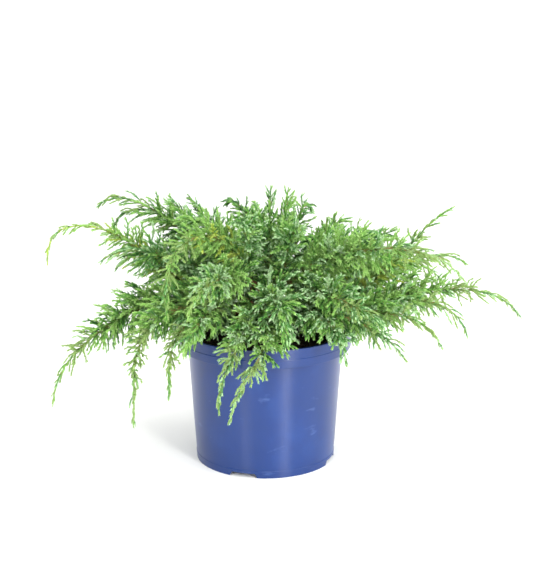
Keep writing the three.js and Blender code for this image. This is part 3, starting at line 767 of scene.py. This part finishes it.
def distance_to_pot(points):
    """How far points lie from the pot, taken as a plain cylinder."""
    across = np.maximum(np.hypot(points[..., 0], points[..., 1]) - POT_RADIUS, 0)
    return np.hypot(across, np.maximum(points[..., 2] - POT_TOP, 0))


def point_along(path, share):
    """A point at a share of a path's way."""
    place = share * (len(path) - 1)
    i = min(int(place), len(path) - 2)
    return path[i] + (path[i + 1] - path[i]) * (place - i)


# %% The CAD source's own draws
SEED, MULTIPLIER, INCREMENT, DRAW_RANGE = 2011, 1664525, 1013904223, 2**32
COMPOST_DRAWS = 108
draw_state = SEED


def draw():
    """The next number of the CAD source's own sequence, from 0 to 1."""
    global draw_state
    draw_state = (draw_state * MULTIPLIER + INCREMENT) % DRAW_RANGE
    return draw_state / DRAW_RANGE


for _ in range(COMPOST_DRAWS):
    draw()
print("Draws that the compost takes in the source:", COMPOST_DRAWS)

# %% The spray rule
SPRAY_FROM, SPRAY_TO, SPRAY_SPACING = 0.07, 0.84, 20.5
SPRAY_LONGEST, SPRAY_SHARE, SPRAY_TAPER, SPRAY_SHORTEST, YOUNG_SPRAYS = 66, 0.46, 0.8, 14, 0.6
SPRAY_SPREAD, SPRAY_SPREAD_AT_TIP, SPRAY_CLOSE, SPRAY_SAG = 54, 26, 22, 10
SPRAY_STEPS, ROLLS_PER_TURN, LOOK_AHEAD = 4, 3, 0.04


def turned_about(vector, axis, degrees):
    """A vector across an axis, turned about it."""
    angle = math.radians(degrees)
    return vector * math.cos(angle) + np.cross(axis, vector) * math.sin(angle)


def heading_along(path, share):
    """The direction of a path at a share of its way."""
    middle = max(LOOK_AHEAD, min(1 - LOOK_AHEAD, share))
    ahead = point_along(path, middle + LOOK_AHEAD)
    return unit(ahead - point_along(path, middle - LOOK_AHEAD))


def longest_spray(leader):
    """How long a leader's sprays are at its foot: young golden leaders still have short ones."""
    grown = YOUNG_SPRAYS if leader["tint"] == "gold" else 1
    return grown * min(SPRAY_LONGEST, leader["length"] * SPRAY_SHARE)


def spray_axis(leader, share, turn, length, wider=0):
    """A spray leaves its leader at an angle, follows the leader's bends and sags."""
    path = leader["path"]
    axis = heading_along(path, share)
    out = turned_about(any_perpendicular(axis), axis, turn)
    spread = SPRAY_SPREAD + (SPRAY_SPREAD_AT_TIP - SPRAY_SPREAD) * share + wider
    points = [point_along(path, share)]
    for i in range(SPRAY_STEPS):
        t = (i + 0.5) / SPRAY_STEPS
        angle = math.radians(spread - SPRAY_CLOSE * t)
        step = heading_along(path, share + length * t / leader["length"]) * math.cos(angle)
        step = step + out * math.sin(angle)
        step[2] -= math.sin(math.radians(SPRAY_SAG)) * t
        points.append(points[-1] + unit(step) * length / SPRAY_STEPS)
    across = turned_about(out, axis, turn * ROLLS_PER_TURN)
    return np.array(points), across


# %% Test whether the CAD's blade for a spray keeps to its space
BLADE_RINGS, BLADE_SLIMNESS, BLADE_RIDGE = (0.12, 1, 0.45, 0.84), 0.21, 1.5


def blade_corners(points, across, length):
    """The corners and edge middles of the CAD's blade for a spray, which the test is made on."""
    along = unit(np.vstack([points[1] - points[0], points[2:] - points[:-2]]))
    rings = []
    first = across
    for point, axis, part in zip(points, along, BLADE_RINGS):
        first = unit(first - axis * (first @ axis))
        second = np.cross(axis, first) * BLADE_RIDGE / 2
        half = length * BLADE_SLIMNESS * part
        rings += [point + first * half - second, point + second, point - first * half - second]
    corners = np.array([*rings, points[-1]])
    return np.vstack([corners[3:], (corners[3:] + corners[:-3]) / 2])


def spray_fits(points, across, length, own):
    """Whether the CAD's blade keeps to its own space."""
    corners = blade_corners(points, across, length)
    if (distance_to_pot(corners) <= RIM_GAP).any() or not clear_of_limbs(corners):
        return False
    return (room_around(corners, own) > 0).all()


# %% Take over the CAD's sprays
GOLDEN_ANGLE, TURN_JITTER, SPRAY_JITTER = 137.5, 60, 0.3
TRY_TURNS, TRY_LENGTHS = (0, 60, -60, 120, -120, 180), (1, 0.78, 0.6, 0.45)


def spray_row(points, length, own, share):
    """What is kept of a spray: its path, its length, its leader and its place along it."""
    return {"path": points, "length": length, "own": own, "share": share}


def cad_sprays(own):
    """The sprays that the CAD solid of one leader has."""
    leader = leaders[own]
    count = round(leader["length"] * (SPRAY_TO - SPRAY_FROM) / SPRAY_SPACING)
    longest = longest_spray(leader)
    found = []
    for k in range(count):
        share = SPRAY_FROM + (SPRAY_TO - SPRAY_FROM) * k / (count - 1)
        wanted = longest * (1 - SPRAY_TAPER * share) * (1 + SPRAY_JITTER * (draw() - 0.5))
        turn = GOLDEN_ANGLE * k + TURN_JITTER * draw()
        for part in TRY_LENGTHS:
            length = max(SPRAY_SHORTEST, wanted * part)
            tries = (spray_axis(leader, share, turn + more, length) for more in TRY_TURNS)
            points = next((p for p, across in tries if spray_fits(p, across, length, own)), None)
            if points is not None:
                found.append(spray_row(points, length, own, share))
                break
    return found


sprays = [spray for own in range(len(leaders)) for spray in cad_sprays(own)]
print("Sprays taken over from the CAD rule:", len(sprays))

# %% [markdown]
# ## Finer sprays
#
# The real plant has several times as many sprays. More of them are grown by the same rule in
# between, shorter ones, and these may mingle with their neighbours as real ones do.

# %% Grow the finer sprays between them
FINE_SPACING, FINE_SHARE, FINE_TAPER, FINE_SHORTEST = 6.4, (0.45, 0.95), 0.8, 9
FINE_TURN, FINE_TURN_JITTER, FINE_WIDER, FINE_RIM_GAP = 90, 50, (-14, 12), 5


def spray_clear(points, begin=1):
    """A finer spray only keeps clear of the pot and, once it has set out, of the limbs."""
    return (distance_to_pot(points[1:]) > FINE_RIM_GAP).all() and clear_of_limbs(points[begin:])


def finer_sprays(own):
    """Shorter sprays between those of the CAD rule."""
    leader = leaders[own]
    count = round(leader["length"] * (SPRAY_TO - SPRAY_FROM) / FINE_SPACING)
    longest = longest_spray(leader)
    found = []
    for k in range(count):
        share = SPRAY_FROM + (SPRAY_TO - SPRAY_FROM) * ((k + chance.random()) / count)
        length = longest * (1 - FINE_TAPER * share) * chance.uniform(*FINE_SHARE)
        length = max(FINE_SHORTEST, length)
        turn = GOLDEN_ANGLE * k + FINE_TURN + FINE_TURN_JITTER * chance.random()
        for more in TRY_TURNS:
            wider = chance.uniform(*FINE_WIDER)
            points, across = spray_axis(leader, share, turn + more, length, wider)
            if spray_clear(points):
                found.append(spray_row(points, length, own, share))
                break
    return found


fine = [spray for own in range(len(leaders)) for spray in finer_sprays(own)]
sprays += fine
print("Finer sprays:", len(fine))

# %% [markdown]
# Between the leaders the crown is full too. Inner sprays fill what is still empty: a place
# well away from every other spray is picked by chance, and a spray grows to it from the limb
# that it can leave at the easiest angle, sets out along that limb and nods at its end. On the
# plant's right and at its front left the crown is full further out than elsewhere.

# %% List the places that inner sprays may grow from
INNER_UP_TO, INNER_UP_TO_DENSE, DENSE = 0.58, 0.74, ("right", "front_left", "foliage_left_3")
NODES_FROM, NODE_SPACING, BOUGH_NODES, BOUGH_PART = 0.02, 5.0, 6, (0.35, 0.95)
leader_number = {leader["name"]: own for own, leader in enumerate(leaders)}


def nodes_on(path, shares, own, on_bough=False):
    """Places along a path, each with its axis, its leader and its share of the leader's way."""
    for share in shares:
        here, ahead = point_along(path, share), point_along(path, share + LOOK_AHEAD)
        yield here, unit(ahead - here), own, 0.0 if on_bough else share


nodes = []
for own, leader in enumerate(leaders):
    up_to = INNER_UP_TO_DENSE if any(part in leader["name"] for part in DENSE) else INNER_UP_TO
    shares = np.linspace(NODES_FROM, up_to, int(leader["length"] * up_to / NODE_SPACING))
    nodes += nodes_on(leader["path"], shares, own)
for name, path in bough_paths.items():
    own = leader_number[f"foliage_{name}_1"]
    nodes += nodes_on(path, np.linspace(*BOUGH_PART, BOUGH_NODES), own, on_bough=True)
node_place, node_axis, node_own, node_share = (np.array(column) for column in zip(*nodes))
print("Places to grow from:", len(node_place))

# %% The rule of an inner spray
INNER_REACH, INNER_REACH_OUT, INNER_FADE, OUTWARD = 60, 22, 0.68, 0.6
INNER_SHORTEST, INNER_NEAREST, INNER_LONGEST = 13, 9.1, 75
SPRAY_GAP, INNER_RIM_GAP, INNER_GAP_LOW, INNER_GAP_HIGH = 5.8, 5.5, 8.8, 12.0
EASIEST, EASE_WORTH, CROWN_MARGIN = 0.2, 1.7, 4
CROWN_FROM, CROWN_DEPTH = 150, 130
NOD_ALONG, NOD_OUTWARD, NOD_DOWN, NOD_LIFT, CURVE_ARM = 0.7, 0.4, 0.75, 0.95, 0.4

taken = np.vstack([spray["path"][1:] for spray in sprays])
crown_low, crown_high = (np.array(corner) / MM for corner in cad_box)


def is_empty(target, tips, gap):
    """Whether a place is in the crown, within a limb's reach and well away from any spray."""
    if (target > crown_high - CROWN_MARGIN).any() or (target < crown_low + CROWN_MARGIN).any():
        return False
    if distance_to_pot(target) < INNER_RIM_GAP:
        return False
    if np.linalg.norm(tips - target, axis=1).min(initial=np.inf) < gap:
        return False
    far = np.linalg.norm(target - node_place, axis=1)
    nearest = far.argmin()
    limit = INNER_REACH + (INNER_REACH_OUT - INNER_REACH) * node_share[nearest] / INNER_FADE
    if not INNER_NEAREST < far[nearest] < limit:
        return False
    return np.linalg.norm(taken - target, axis=1).min() >= SPRAY_GAP


def inner_path(target, height):
    """A curve to a place from where it is left at the easiest angle, and the number of that
    place. There may be none."""
    away = target - node_place
    far = np.linalg.norm(away, axis=1)
    ease = (away * node_axis).sum(1) / far
    fits = (ease > EASIEST) & (far > INNER_SHORTEST) & (far < INNER_LONGEST)
    parent = np.where(fits, far * (EASE_WORTH - ease), np.inf).argmin()
    if not fits[parent]:
        return None, None
    start, arm = node_place[parent], CURVE_ARM * far[parent]
    outward = unit(np.array([target[0], target[1], 0.0]) + 1e-6)
    nod = unit(unit(away[parent]) * NOD_ALONG + outward * NOD_OUTWARD
               + np.array([0, 0, NOD_LIFT * height - NOD_DOWN]))
    t = np.linspace(0, 1, SPRAY_STEPS + 1)[:, None]
    points = ((1 - t) ** 3 * start + 3 * (1 - t) ** 2 * t * (start + node_axis[parent] * arm)
              + 3 * (1 - t) * t**2 * (target - nod * arm) + t**3 * target)
    return points, parent


# %% Fill the crown with inner sprays
INNER_TRIES = 70000

inner, inner_tips = [], np.empty((0, 3))
for _ in range(INNER_TRIES):
    node = chance.integers(len(node_place))
    toward = unit(chance.normal(0, 1, 3))
    target = node_place[node] + toward * INNER_REACH * chance.random() ** OUTWARD
    height = np.clip((target[2] - CROWN_FROM) / CROWN_DEPTH, 0, 1)
    if is_empty(target, inner_tips, INNER_GAP_LOW + (INNER_GAP_HIGH - INNER_GAP_LOW) * height):
        points, parent = inner_path(target, height)
        if points is not None and spray_clear(points):
            length = np.linalg.norm(np.diff(points, axis=0), axis=1).sum()
            inner.append(spray_row(points, length, node_own[parent], node_share[parent]))
            inner_tips = np.vstack([inner_tips, target])
sprays += inner
print("Inner sprays:", len(inner), "all sprays:", len(sprays))

# %% [markdown]
# The boughs themselves would still be bare between the stem and their tips. Short straight
# sprays are set round them by the golden angle, lifted a little towards the light.

# %% Set short sprays on the boughs themselves
BOUGH_SPRAYS, BOUGH_TURN_JITTER, BOUGH_LEAN = 9, 40, (45, 65)
BOUGH_SPRAY_LENGTH, BOUGH_SPRAY_LIFT = (18, 30), 4.0

on_boughs = []
for name, path in bough_paths.items():
    for k, share in enumerate(np.linspace(*BOUGH_PART, BOUGH_SPRAYS)):
        axis = heading_along(path, share)
        turn = GOLDEN_ANGLE * k + BOUGH_TURN_JITTER * chance.random()
        lean = math.radians(chance.uniform(*BOUGH_LEAN))
        out = turned_about(any_perpendicular(axis), axis, turn)
        way = axis * math.cos(lean) + out * math.sin(lean)
        length = chance.uniform(*BOUGH_SPRAY_LENGTH)
        t = np.linspace(0, 1, SPRAY_STEPS + 1)[:, None]
        points = point_along(path, share) + way * length * t
        points = points + np.array([0, 0, BOUGH_SPRAY_LIFT]) * t**2
        if spray_clear(points, begin=2):
            on_boughs.append(spray_row(points, length, leader_number[f"foliage_{name}_1"], 0.0))
sprays += on_boughs
print("Sprays on the boughs:", len(on_boughs))

# %% [markdown]
# Towards its tip a long leader is slim: its sprays are drawn in, their shoots and needles are
# short and lie close. How slim all of them are follows from their place along the leader,
# and those that hang down in front are slim from further in.

# %% Draw in the outer sprays
SLIM_FROM, SLIM_FROM_HANGING, SLIM_OVER, SLIMMEST = 0.38, 0.24, 0.37, 0.9
BUSHY_LENGTH, SLIM_LENGTH, BUSHY = 118, 140, 0.2
DRAWN_IN, DRAWN_IN_HANGING, HANGING_DROOP = 0.06, 0.38, 100
leader_length = np.array([leader["length"] for leader in leaders], float)
hanging = np.array([
    leader["droop"] > HANGING_DROOP and "front" in leader["name"] for leader in leaders
])


def slimness(own, shares):
    """How slim a shoot is that stands at a share of its leader's way: only long leaders are
    slim at their tips, the short upright ones stay bushy."""
    most = SLIMMEST * np.interp(leader_length[own], (BUSHY_LENGTH, SLIM_LENGTH), (BUSHY, 1))
    begin = SLIM_FROM + (SLIM_FROM_HANGING - SLIM_FROM) * hanging[own]
    return most * np.clip((shares - begin) / SLIM_OVER, 0, 1)


spray_own = np.array([spray["own"] for spray in sprays])
spray_slim = slimness(spray_own, np.array([spray["share"] for spray in sprays]))
drawn = 1 - spray_slim * (DRAWN_IN + (DRAWN_IN_HANGING - DRAWN_IN) * hanging[spray_own])
spray_paths = np.array([spray["path"] for spray in sprays])
spray_paths = spray_paths[:, :1] + (spray_paths - spray_paths[:, :1]) * drawn[:, None, None]
spray_length = np.array([spray["length"] for spray in sprays]) * drawn
print("Outer sprays drawn in:", (spray_slim > 0).sum())

# %% [markdown]
# ## Side shoots
#
# Every spray carries short side shoots, alternately left and right, and each leader has them
# all round. There are thousands, so they are worked out all at once, in arrays.

# %% Helpers that grow shoots on many paths at once
SHOOT_STEPS, SHOOT_CLOSING, SHOOT_SAG = 2, 0.45, 0.28


def spread_along(lengths, spacing, begin, end):
    """For each path, evenly spaced places: which path, which number, and the share there."""
    counts = np.maximum(1, np.round(lengths * (end - begin) / spacing)).astype(int)
    which = np.repeat(np.arange(len(lengths)), counts)
    number = np.arange(counts.sum()) - np.repeat(np.cumsum(counts) - counts, counts)
    share = begin + (end - begin) * (number + 0.5) / np.repeat(counts, counts)
    return which, number, share


def place_on(paths, which, share):
    """Points and directions at shares of many paths at once."""
    steps = paths.shape[1] - 1
    place = np.clip(share, 0, 1) * steps
    i = np.minimum(place.astype(int), steps - 1)
    before, after = paths[which, i], paths[which, i + 1]
    return before + (after - before) * (place - i)[:, None], unit(after - before)


def across_of(axes):
    """For each axis, two directions across it."""
    up = np.where(np.abs(axes[:, 2:3]) < 0.9, [[0, 0, 1.0]], [[1.0, 0, 0]])
    first = unit(np.cross(up, axes))
    return first, np.cross(axes, first)


def side_shoots(paths, which, share, angle, length, spread):
    """Short shoots at places along paths, closing up to the parent and sagging a little."""
    start, axis = place_on(paths, which, share)
    first, second = across_of(axis)
    out = first * np.cos(angle)[:, None] + second * np.sin(angle)[:, None]
    points = [start]
    for i in range(SHOOT_STEPS):
        t = (i + 0.5) / SHOOT_STEPS
        lean = np.radians(spread * (1 - SHOOT_CLOSING * t))[:, None]
        step = axis * np.cos(lean) + out * np.sin(lean)
        step[:, 2] -= SHOOT_SAG * t
        points.append(points[-1] + unit(step) * (length / SHOOT_STEPS)[:, None])
    return np.stack(points, axis=1)


# %% Grow the side shoots of the sprays
SHOOT_SPACING, SHOOTS_FROM, SHOOTS_TO = 4.6, 0.22, 0.93
SHOOT_LONGEST, SHOOT_TAPER, SHOOT_SHORTEST, SHOOT_JITTER = 0.34, 0.6, 5.0, (0.7, 1.25)
SHOOT_SPREAD, FLAT_JITTER, SHOOT_SLIMMER = (28, 46), 0.5, 0.35

shoot_spray, number, share = spread_along(spray_length, SHOOT_SPACING, SHOOTS_FROM, SHOOTS_TO)
slimmer = 1 - SHOOT_SLIMMER * spray_slim[shoot_spray]
shoot_length = SHOOT_LONGEST * (1 - SHOOT_TAPER * share) * spray_length[shoot_spray]
shoot_length = shoot_length * chance.uniform(*SHOOT_JITTER, len(share))
shoot_length = np.maximum(SHOOT_SHORTEST, shoot_length) * slimmer
flat = np.where(number % 2 == 0, 0, np.pi) + chance.normal(0, FLAT_JITTER, len(share))
spread = chance.uniform(*SHOOT_SPREAD, len(share)) * slimmer
spray_shoots = side_shoots(spray_paths, shoot_spray, share, flat, shoot_length, spread)
clear = (distance_to_pot(spray_shoots[:, 1:]) > RIM_GAP).all(1)
spray_shoots, shoot_spray, shoot_length = (
    a[clear] for a in (spray_shoots, shoot_spray, shoot_length)
)
print("Side shoots of sprays:", len(clear), "clear of the pot:", len(spray_shoots))

# %% Grow the leaders' own short shoots
OWN_SPACING, OWN_FROM, OWN_TO, OWN_TURN_JITTER = 3.4, 0.1, 0.97, 0.4
OWN_LENGTH, OWN_LENGTH_SLIM, OWN_JITTER, TIP_ROOM = 12.5, 6.5, (0.8, 1.2), 2
OWN_SPREAD, OWN_SLIMMER = (28, 44), 0.4

own_which, number, share = spread_along(leader_length, OWN_SPACING, OWN_FROM, OWN_TO)
own_slim = slimness(own_which, share)
own_length = (OWN_LENGTH - OWN_LENGTH_SLIM * own_slim) * chance.uniform(*OWN_JITTER, len(share))
own_length = np.minimum(own_length, (1 - share) * leader_length[own_which] + TIP_ROOM)
turn = np.radians(GOLDEN_ANGLE) * number + chance.normal(0, OWN_TURN_JITTER, len(share))
spread = chance.uniform(*OWN_SPREAD, len(share)) * (1 - OWN_SLIMMER * own_slim)
leader_shoots = side_shoots(leader_paths, own_which, share, turn, own_length, spread)
clear = np.array([spray_clear(path) for path in leader_shoots])
leader_shoots, own_which, own_slim, own_length = (
    a[clear] for a in (leader_shoots, own_which, own_slim, own_length)
)
print("Leader shoots:", len(leader_shoots))

# %% [markdown]
# ## Twigs
#
# Young juniper twigs are thin, orange-brown to green, and mostly hidden by needles. Leaders
# and sprays are one joined mesh of slim tubes with three or five sides, drawn to a point. The
# side shoots are another, and so short that a slim cone does for each.

# %% Sweep the twigs
def tubes(paths, start_radius, end_radius, sides):
    """Closed slim tubes along many paths at once, drawn to a point: corners and triangles."""
    count, points = paths.shape[:2]
    axis = np.empty_like(paths)
    axis[:, 1:-1] = paths[:, 2:] - paths[:, :-2]
    axis[:, 0] = paths[:, 1] - paths[:, 0]
    axis[:, -1] = paths[:, -1] - paths[:, -2]
    axis = unit(axis)
    first, second = (a.reshape(count, points, 3) for a in across_of(axis.reshape(-1, 3)))
    grow = np.linspace(0, 1, points)[None, :, None]
    start_radius, end_radius = (np.reshape(r, (-1, 1, 1)) for r in (start_radius, end_radius))
    radius = start_radius * (1 - grow) + end_radius * grow
    angles = 2 * np.pi * np.arange(sides) / sides
    rings = [paths + radius * (first * math.cos(a) + second * math.sin(a)) for a in angles]
    rings = np.stack(rings, axis=2)[:, :-1].reshape(count, (points - 1) * sides, 3)
    corners = np.concatenate([rings, paths[:, -1:]], axis=1)
    ring = np.arange(points - 2)[:, None] * sides
    side = np.arange(sides)
    a, b = ring + side, ring + (side + 1) % sides
    walls = np.concatenate([
        np.stack([a, b, a + sides], -1), np.stack([b, b + sides, a + sides], -1)
    ])
    fan = np.arange(1, sides - 1)
    foot = np.stack([np.zeros_like(fan), fan + 1, fan], -1)
    last = (points - 2) * sides
    cone = np.stack([last + side, last + (side + 1) % sides, np.full_like(side, last + sides)], -1)
    faces = np.concatenate([walls.reshape(-1, 3), foot, cone])
    faces = faces[None] + (corners.shape[1] * np.arange(count))[:, None, None]
    return corners.reshape(-1, 3), faces.reshape(-1, 3)


def joined(parts):
    """Several sets of corners and faces as one."""
    shifts = np.cumsum([0] + [len(corners) for corners, faces in parts[:-1]])
    corners = np.vstack([corners for corners, faces in parts])
    return corners, np.vstack([faces + shift for (_, faces), shift in zip(parts, shifts)])


LEADER_TWIG, LEADER_TWIG_TIP, LEADER_GROWTH = 0.95, 0.35, 300
SPRAY_TWIG, SPRAY_TWIG_TIP, SPRAY_GROWTH = 0.45, 0.3, 120
SHOOT_TWIG, SHOOT_TWIG_TIP = 0.45, 0.25

twigs = mesh_from_arrays("twigs", *joined([
    tubes(leader_paths, LEADER_TWIG + leader_length / LEADER_GROWTH, LEADER_TWIG_TIP, 5),
    tubes(spray_paths, SPRAY_TWIG + spray_length / SPRAY_GROWTH, SPRAY_TWIG_TIP, 3),
]))
cones = np.concatenate([spray_shoots, leader_shoots])[:, ::SHOOT_STEPS]
shoot_twigs = mesh_from_arrays("shoot_twigs", *tubes(cones, SHOOT_TWIG, SHOOT_TWIG_TIP, 3))
print("Twig faces:", len(twigs.data.polygons), "and", len(shoot_twigs.data.polygons))

# %% Finish the twigs
twig_bark, twig_shader = new_material("young_twig_bark", 0.7, 0.3)
base_colour_from(twig_bark, twig_shader, noise(twig_bark, 55, 3), [
    (0.35, srgb(58, 84, 34)), (0.5, srgb(90, 102, 48)), (0.7, srgb(150, 130, 80)),
])
bump_from(twig_bark, twig_shader, noise(twig_bark, 700, 3), 0.5, 0.0003)
for piece in (twigs, shoot_twigs):
    piece.data.materials.append(twig_bark)
    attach(piece, "root")
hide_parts(*[leader["name"] for leader in leaders])
print("Twigs finished in", twig_bark.name)

# %% [markdown]
# ## Needles
#
# The needles are awl-shaped, widest at the shoot and drawn to a point, and stand in whorls of
# three. Their inner face carries a pale bloom that gives this juniper its blue-green look. A
# needle here has four faces: the inner one with the bloom, two green ones outside, and a small
# foot in the shoot. Each spray deals out one tint to its needles, and the tips of its shoots
# are a fresher one. The slim tips of the leaders are quieter, olive or blue-green.

# %% Deal the tints out by spray
TINTS = ["deep", "blue", "green", "fresh", "gold", "pale", "olive"]
DEAL = {
    # The light row is painted light: lighter tints for the green leaders on the brightly lit right
    # side of the crown.
    "light": [0.03, 0.12, 0.3, 0.45, 0.0, 0.08, 0.02],
    "blue": [0.12, 0.46, 0.28, 0.08, 0.0, 0.04, 0.02],
    "green": [0.08, 0.14, 0.4, 0.34, 0.0, 0.02, 0.02],
    "fresh": [0.04, 0.2, 0.34, 0.24, 0.0, 0.16, 0.02],
    "gold": [0.02, 0.04, 0.2, 0.38, 0.3, 0.02, 0.04],
}
FRESHER = np.array([2, 5, 3, 3, 4, 5, 3])
QUIETER = np.array([2, 1, 6, 6, 3, 5, 6])


def mixture(leader):
    """The mixture of tints on a leader: the green ones at the plant's right get lighter tints,
    painted light for the brightly lit right side of the crown.
    """
    # Painted light: green leaders on the lit right side get the lighter mixture.
    light = leader["tint"] == "green" and "right" in leader["name"]
    return DEAL["light" if light else leader["tint"]]


def deal(own):
    """The tint of each spray, from the mixture on its leader."""
    weights = np.cumsum([mixture(leaders[i]) for i in own], axis=1)
    weights /= weights[:, -1:]
    return (chance.random((len(own), 1)) > weights).sum(1)


spray_tint = deal(spray_own)
leader_tint = deal(np.arange(len(leaders)))
shoot_tint = spray_tint[shoot_spray]
own_tint = deal(own_which)
print("Sprays by tint:", dict(zip(TINTS, np.bincount(spray_tint).tolist())))

# %% Stand the needles in whorls
WHORL_SPACING, NEEDLE_WIDTH, NEEDLE_DEPTH, NEEDLE_CURVE = 2.6, 1.65, 0.6, 0.07
NEEDLE_LONGEST, NEEDLE_ON_SHOOTS, NEEDLE_AT_TIP = 5.1, 4.6, 3.4
NEEDLES_FROM, NEEDLES_FROM_ON_SHOOTS, LEADER_SLIM = 0.2, 0.12, 0.5
YOUNG_OVER, SLIM_IS_CLOSED, FRESH_ABOVE, QUIET_ABOVE = 9, 0.5, 0.6, 0.6
LEAN, LEAN_JITTER, LEAN_CLOSED, WHORL_JITTER = 30, 6, 13, 0.22
SIZE_JITTER, WIDTH_JITTER = (0.82, 1.12), (0.85, 1.15)


def needles(paths, lengths, tints, slim, begin, longest):
    """Whorls of three needles along many shoots: their corners and their tints. The needles of
    a slim shoot are short and close to it."""
    which, number, share = spread_along(lengths, WHORL_SPACING, begin, 1.0)
    which, number, share = (np.repeat(a, 3) for a in (which, number, share))
    place, axis = place_on(paths, which, share)
    count = len(place)
    first, second = across_of(axis)
    turn = np.radians(120 * np.tile(np.arange(3), count // 3) + 60 * number)
    turn = (turn + chance.normal(0, WHORL_JITTER, count))[:, None]
    out = first * np.cos(turn) + second * np.sin(turn)
    young = np.clip(1 - (1 - share) * lengths[which] / YOUNG_OVER, 0, 1)
    closed = np.maximum(young, SLIM_IS_CLOSED * slim[which])
    lean = np.radians(chance.normal(LEAN, LEAN_JITTER, count) - LEAN_CLOSED * closed)[:, None]
    size = longest + (NEEDLE_AT_TIP - longest) * closed
    size = (size * chance.uniform(*SIZE_JITTER, count))[:, None]
    along = axis * np.cos(lean) + out * np.sin(lean)
    inner = axis * np.sin(lean) - out * np.cos(lean)
    side = np.cross(inner, along)
    width = (NEEDLE_WIDTH / 2 * chance.uniform(*WIDTH_JITTER, count))[:, None]
    corners = np.stack([
        place + side * width, place - side * width,
        place + along * size + inner * NEEDLE_CURVE * size, place - inner * NEEDLE_DEPTH,
    ], axis=1)
    tint = tints[which]
    tint = np.where(young > FRESH_ABOVE, FRESHER[tint], tint)
    tint = np.where(slim[which] > QUIET_ABOVE, QUIETER[tint], tint)
    return corners, tint


leader_slim = np.full(len(leaders), LEADER_SLIM)
shoot_slim = spray_slim[shoot_spray]
on_twigs, on_shoots = (NEEDLES_FROM, NEEDLE_LONGEST), (NEEDLES_FROM_ON_SHOOTS, NEEDLE_ON_SHOOTS)
whorls = [
    needles(leader_paths, leader_length, leader_tint, leader_slim, *on_twigs),
    needles(spray_paths, spray_length, spray_tint, spray_slim, *on_twigs),
    needles(spray_shoots, shoot_length, shoot_tint, shoot_slim, *on_shoots),
    needles(leader_shoots, own_length, own_tint, own_slim, *on_shoots),
]
needle_corners = np.concatenate([corners for corners, tint in whorls])
needle_tint = np.concatenate([tint for corners, tint in whorls])
print("Needles:", len(needle_corners))

# %% Make the needle materials and one piece for each tint
NEEDLE_COLOURS = {
    "deep": (srgb(24, 74, 18), srgb(80, 130, 64)),
    "blue": (srgb(72, 125, 60), srgb(140, 182, 124)),
    "green": (srgb(80, 138, 50), srgb(138, 182, 102)),
    "fresh": (srgb(122, 168, 78), srgb(168, 202, 126)),
    "gold": (srgb(156, 180, 66), srgb(190, 207, 112)),
    "pale": (srgb(142, 181, 122), srgb(186, 211, 170)),
    "olive": (srgb(122, 154, 80), srgb(168, 190, 130)),
}
NEEDLE_FACES = np.array([[0, 1, 2], [0, 2, 3], [1, 3, 2], [0, 3, 1]])
MOST_NEEDLES = 49000


def needle_material(name, colour):
    """A waxy green of one plain colour, with a fine unevenness in its gloss."""
    material, shader = new_material(name, 0.5, 0.35)
    shader.inputs["Base Color"].default_value = colour
    roughness_from(material, shader, noise(material, 300, 2), 0.42, 0.62)
    return material


def needle_piece(name, corners, materials):
    """One joined mesh of needles: the inner face of each has the bloom."""
    faces = NEEDLE_FACES[None] + 4 * np.arange(len(corners))[:, None, None]
    index = np.tile([1, 0, 0, 0], len(corners))
    piece = mesh_from_arrays(name, corners.reshape(-1, 3), faces.reshape(-1, 3), index)
    for material in materials:
        piece.data.materials.append(material)
    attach(piece, "root")
    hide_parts(*[leader["name"] for leader in leaders])
    print(name, "triangles:", len(piece.data.polygons))


for number, tint in enumerate(TINTS):
    kinds = zip((f"needle_{tint}", f"bloom_{tint}"), NEEDLE_COLOURS[tint])
    materials = [needle_material(name, colour) for name, colour in kinds]
    chosen = needle_corners[needle_tint == number]
    for part in range(0, len(chosen), MOST_NEEDLES):
        name = f"needles_{tint}_{part // MOST_NEEDLES + 1}"
        needle_piece(name, chosen[part:part + MOST_NEEDLES], materials)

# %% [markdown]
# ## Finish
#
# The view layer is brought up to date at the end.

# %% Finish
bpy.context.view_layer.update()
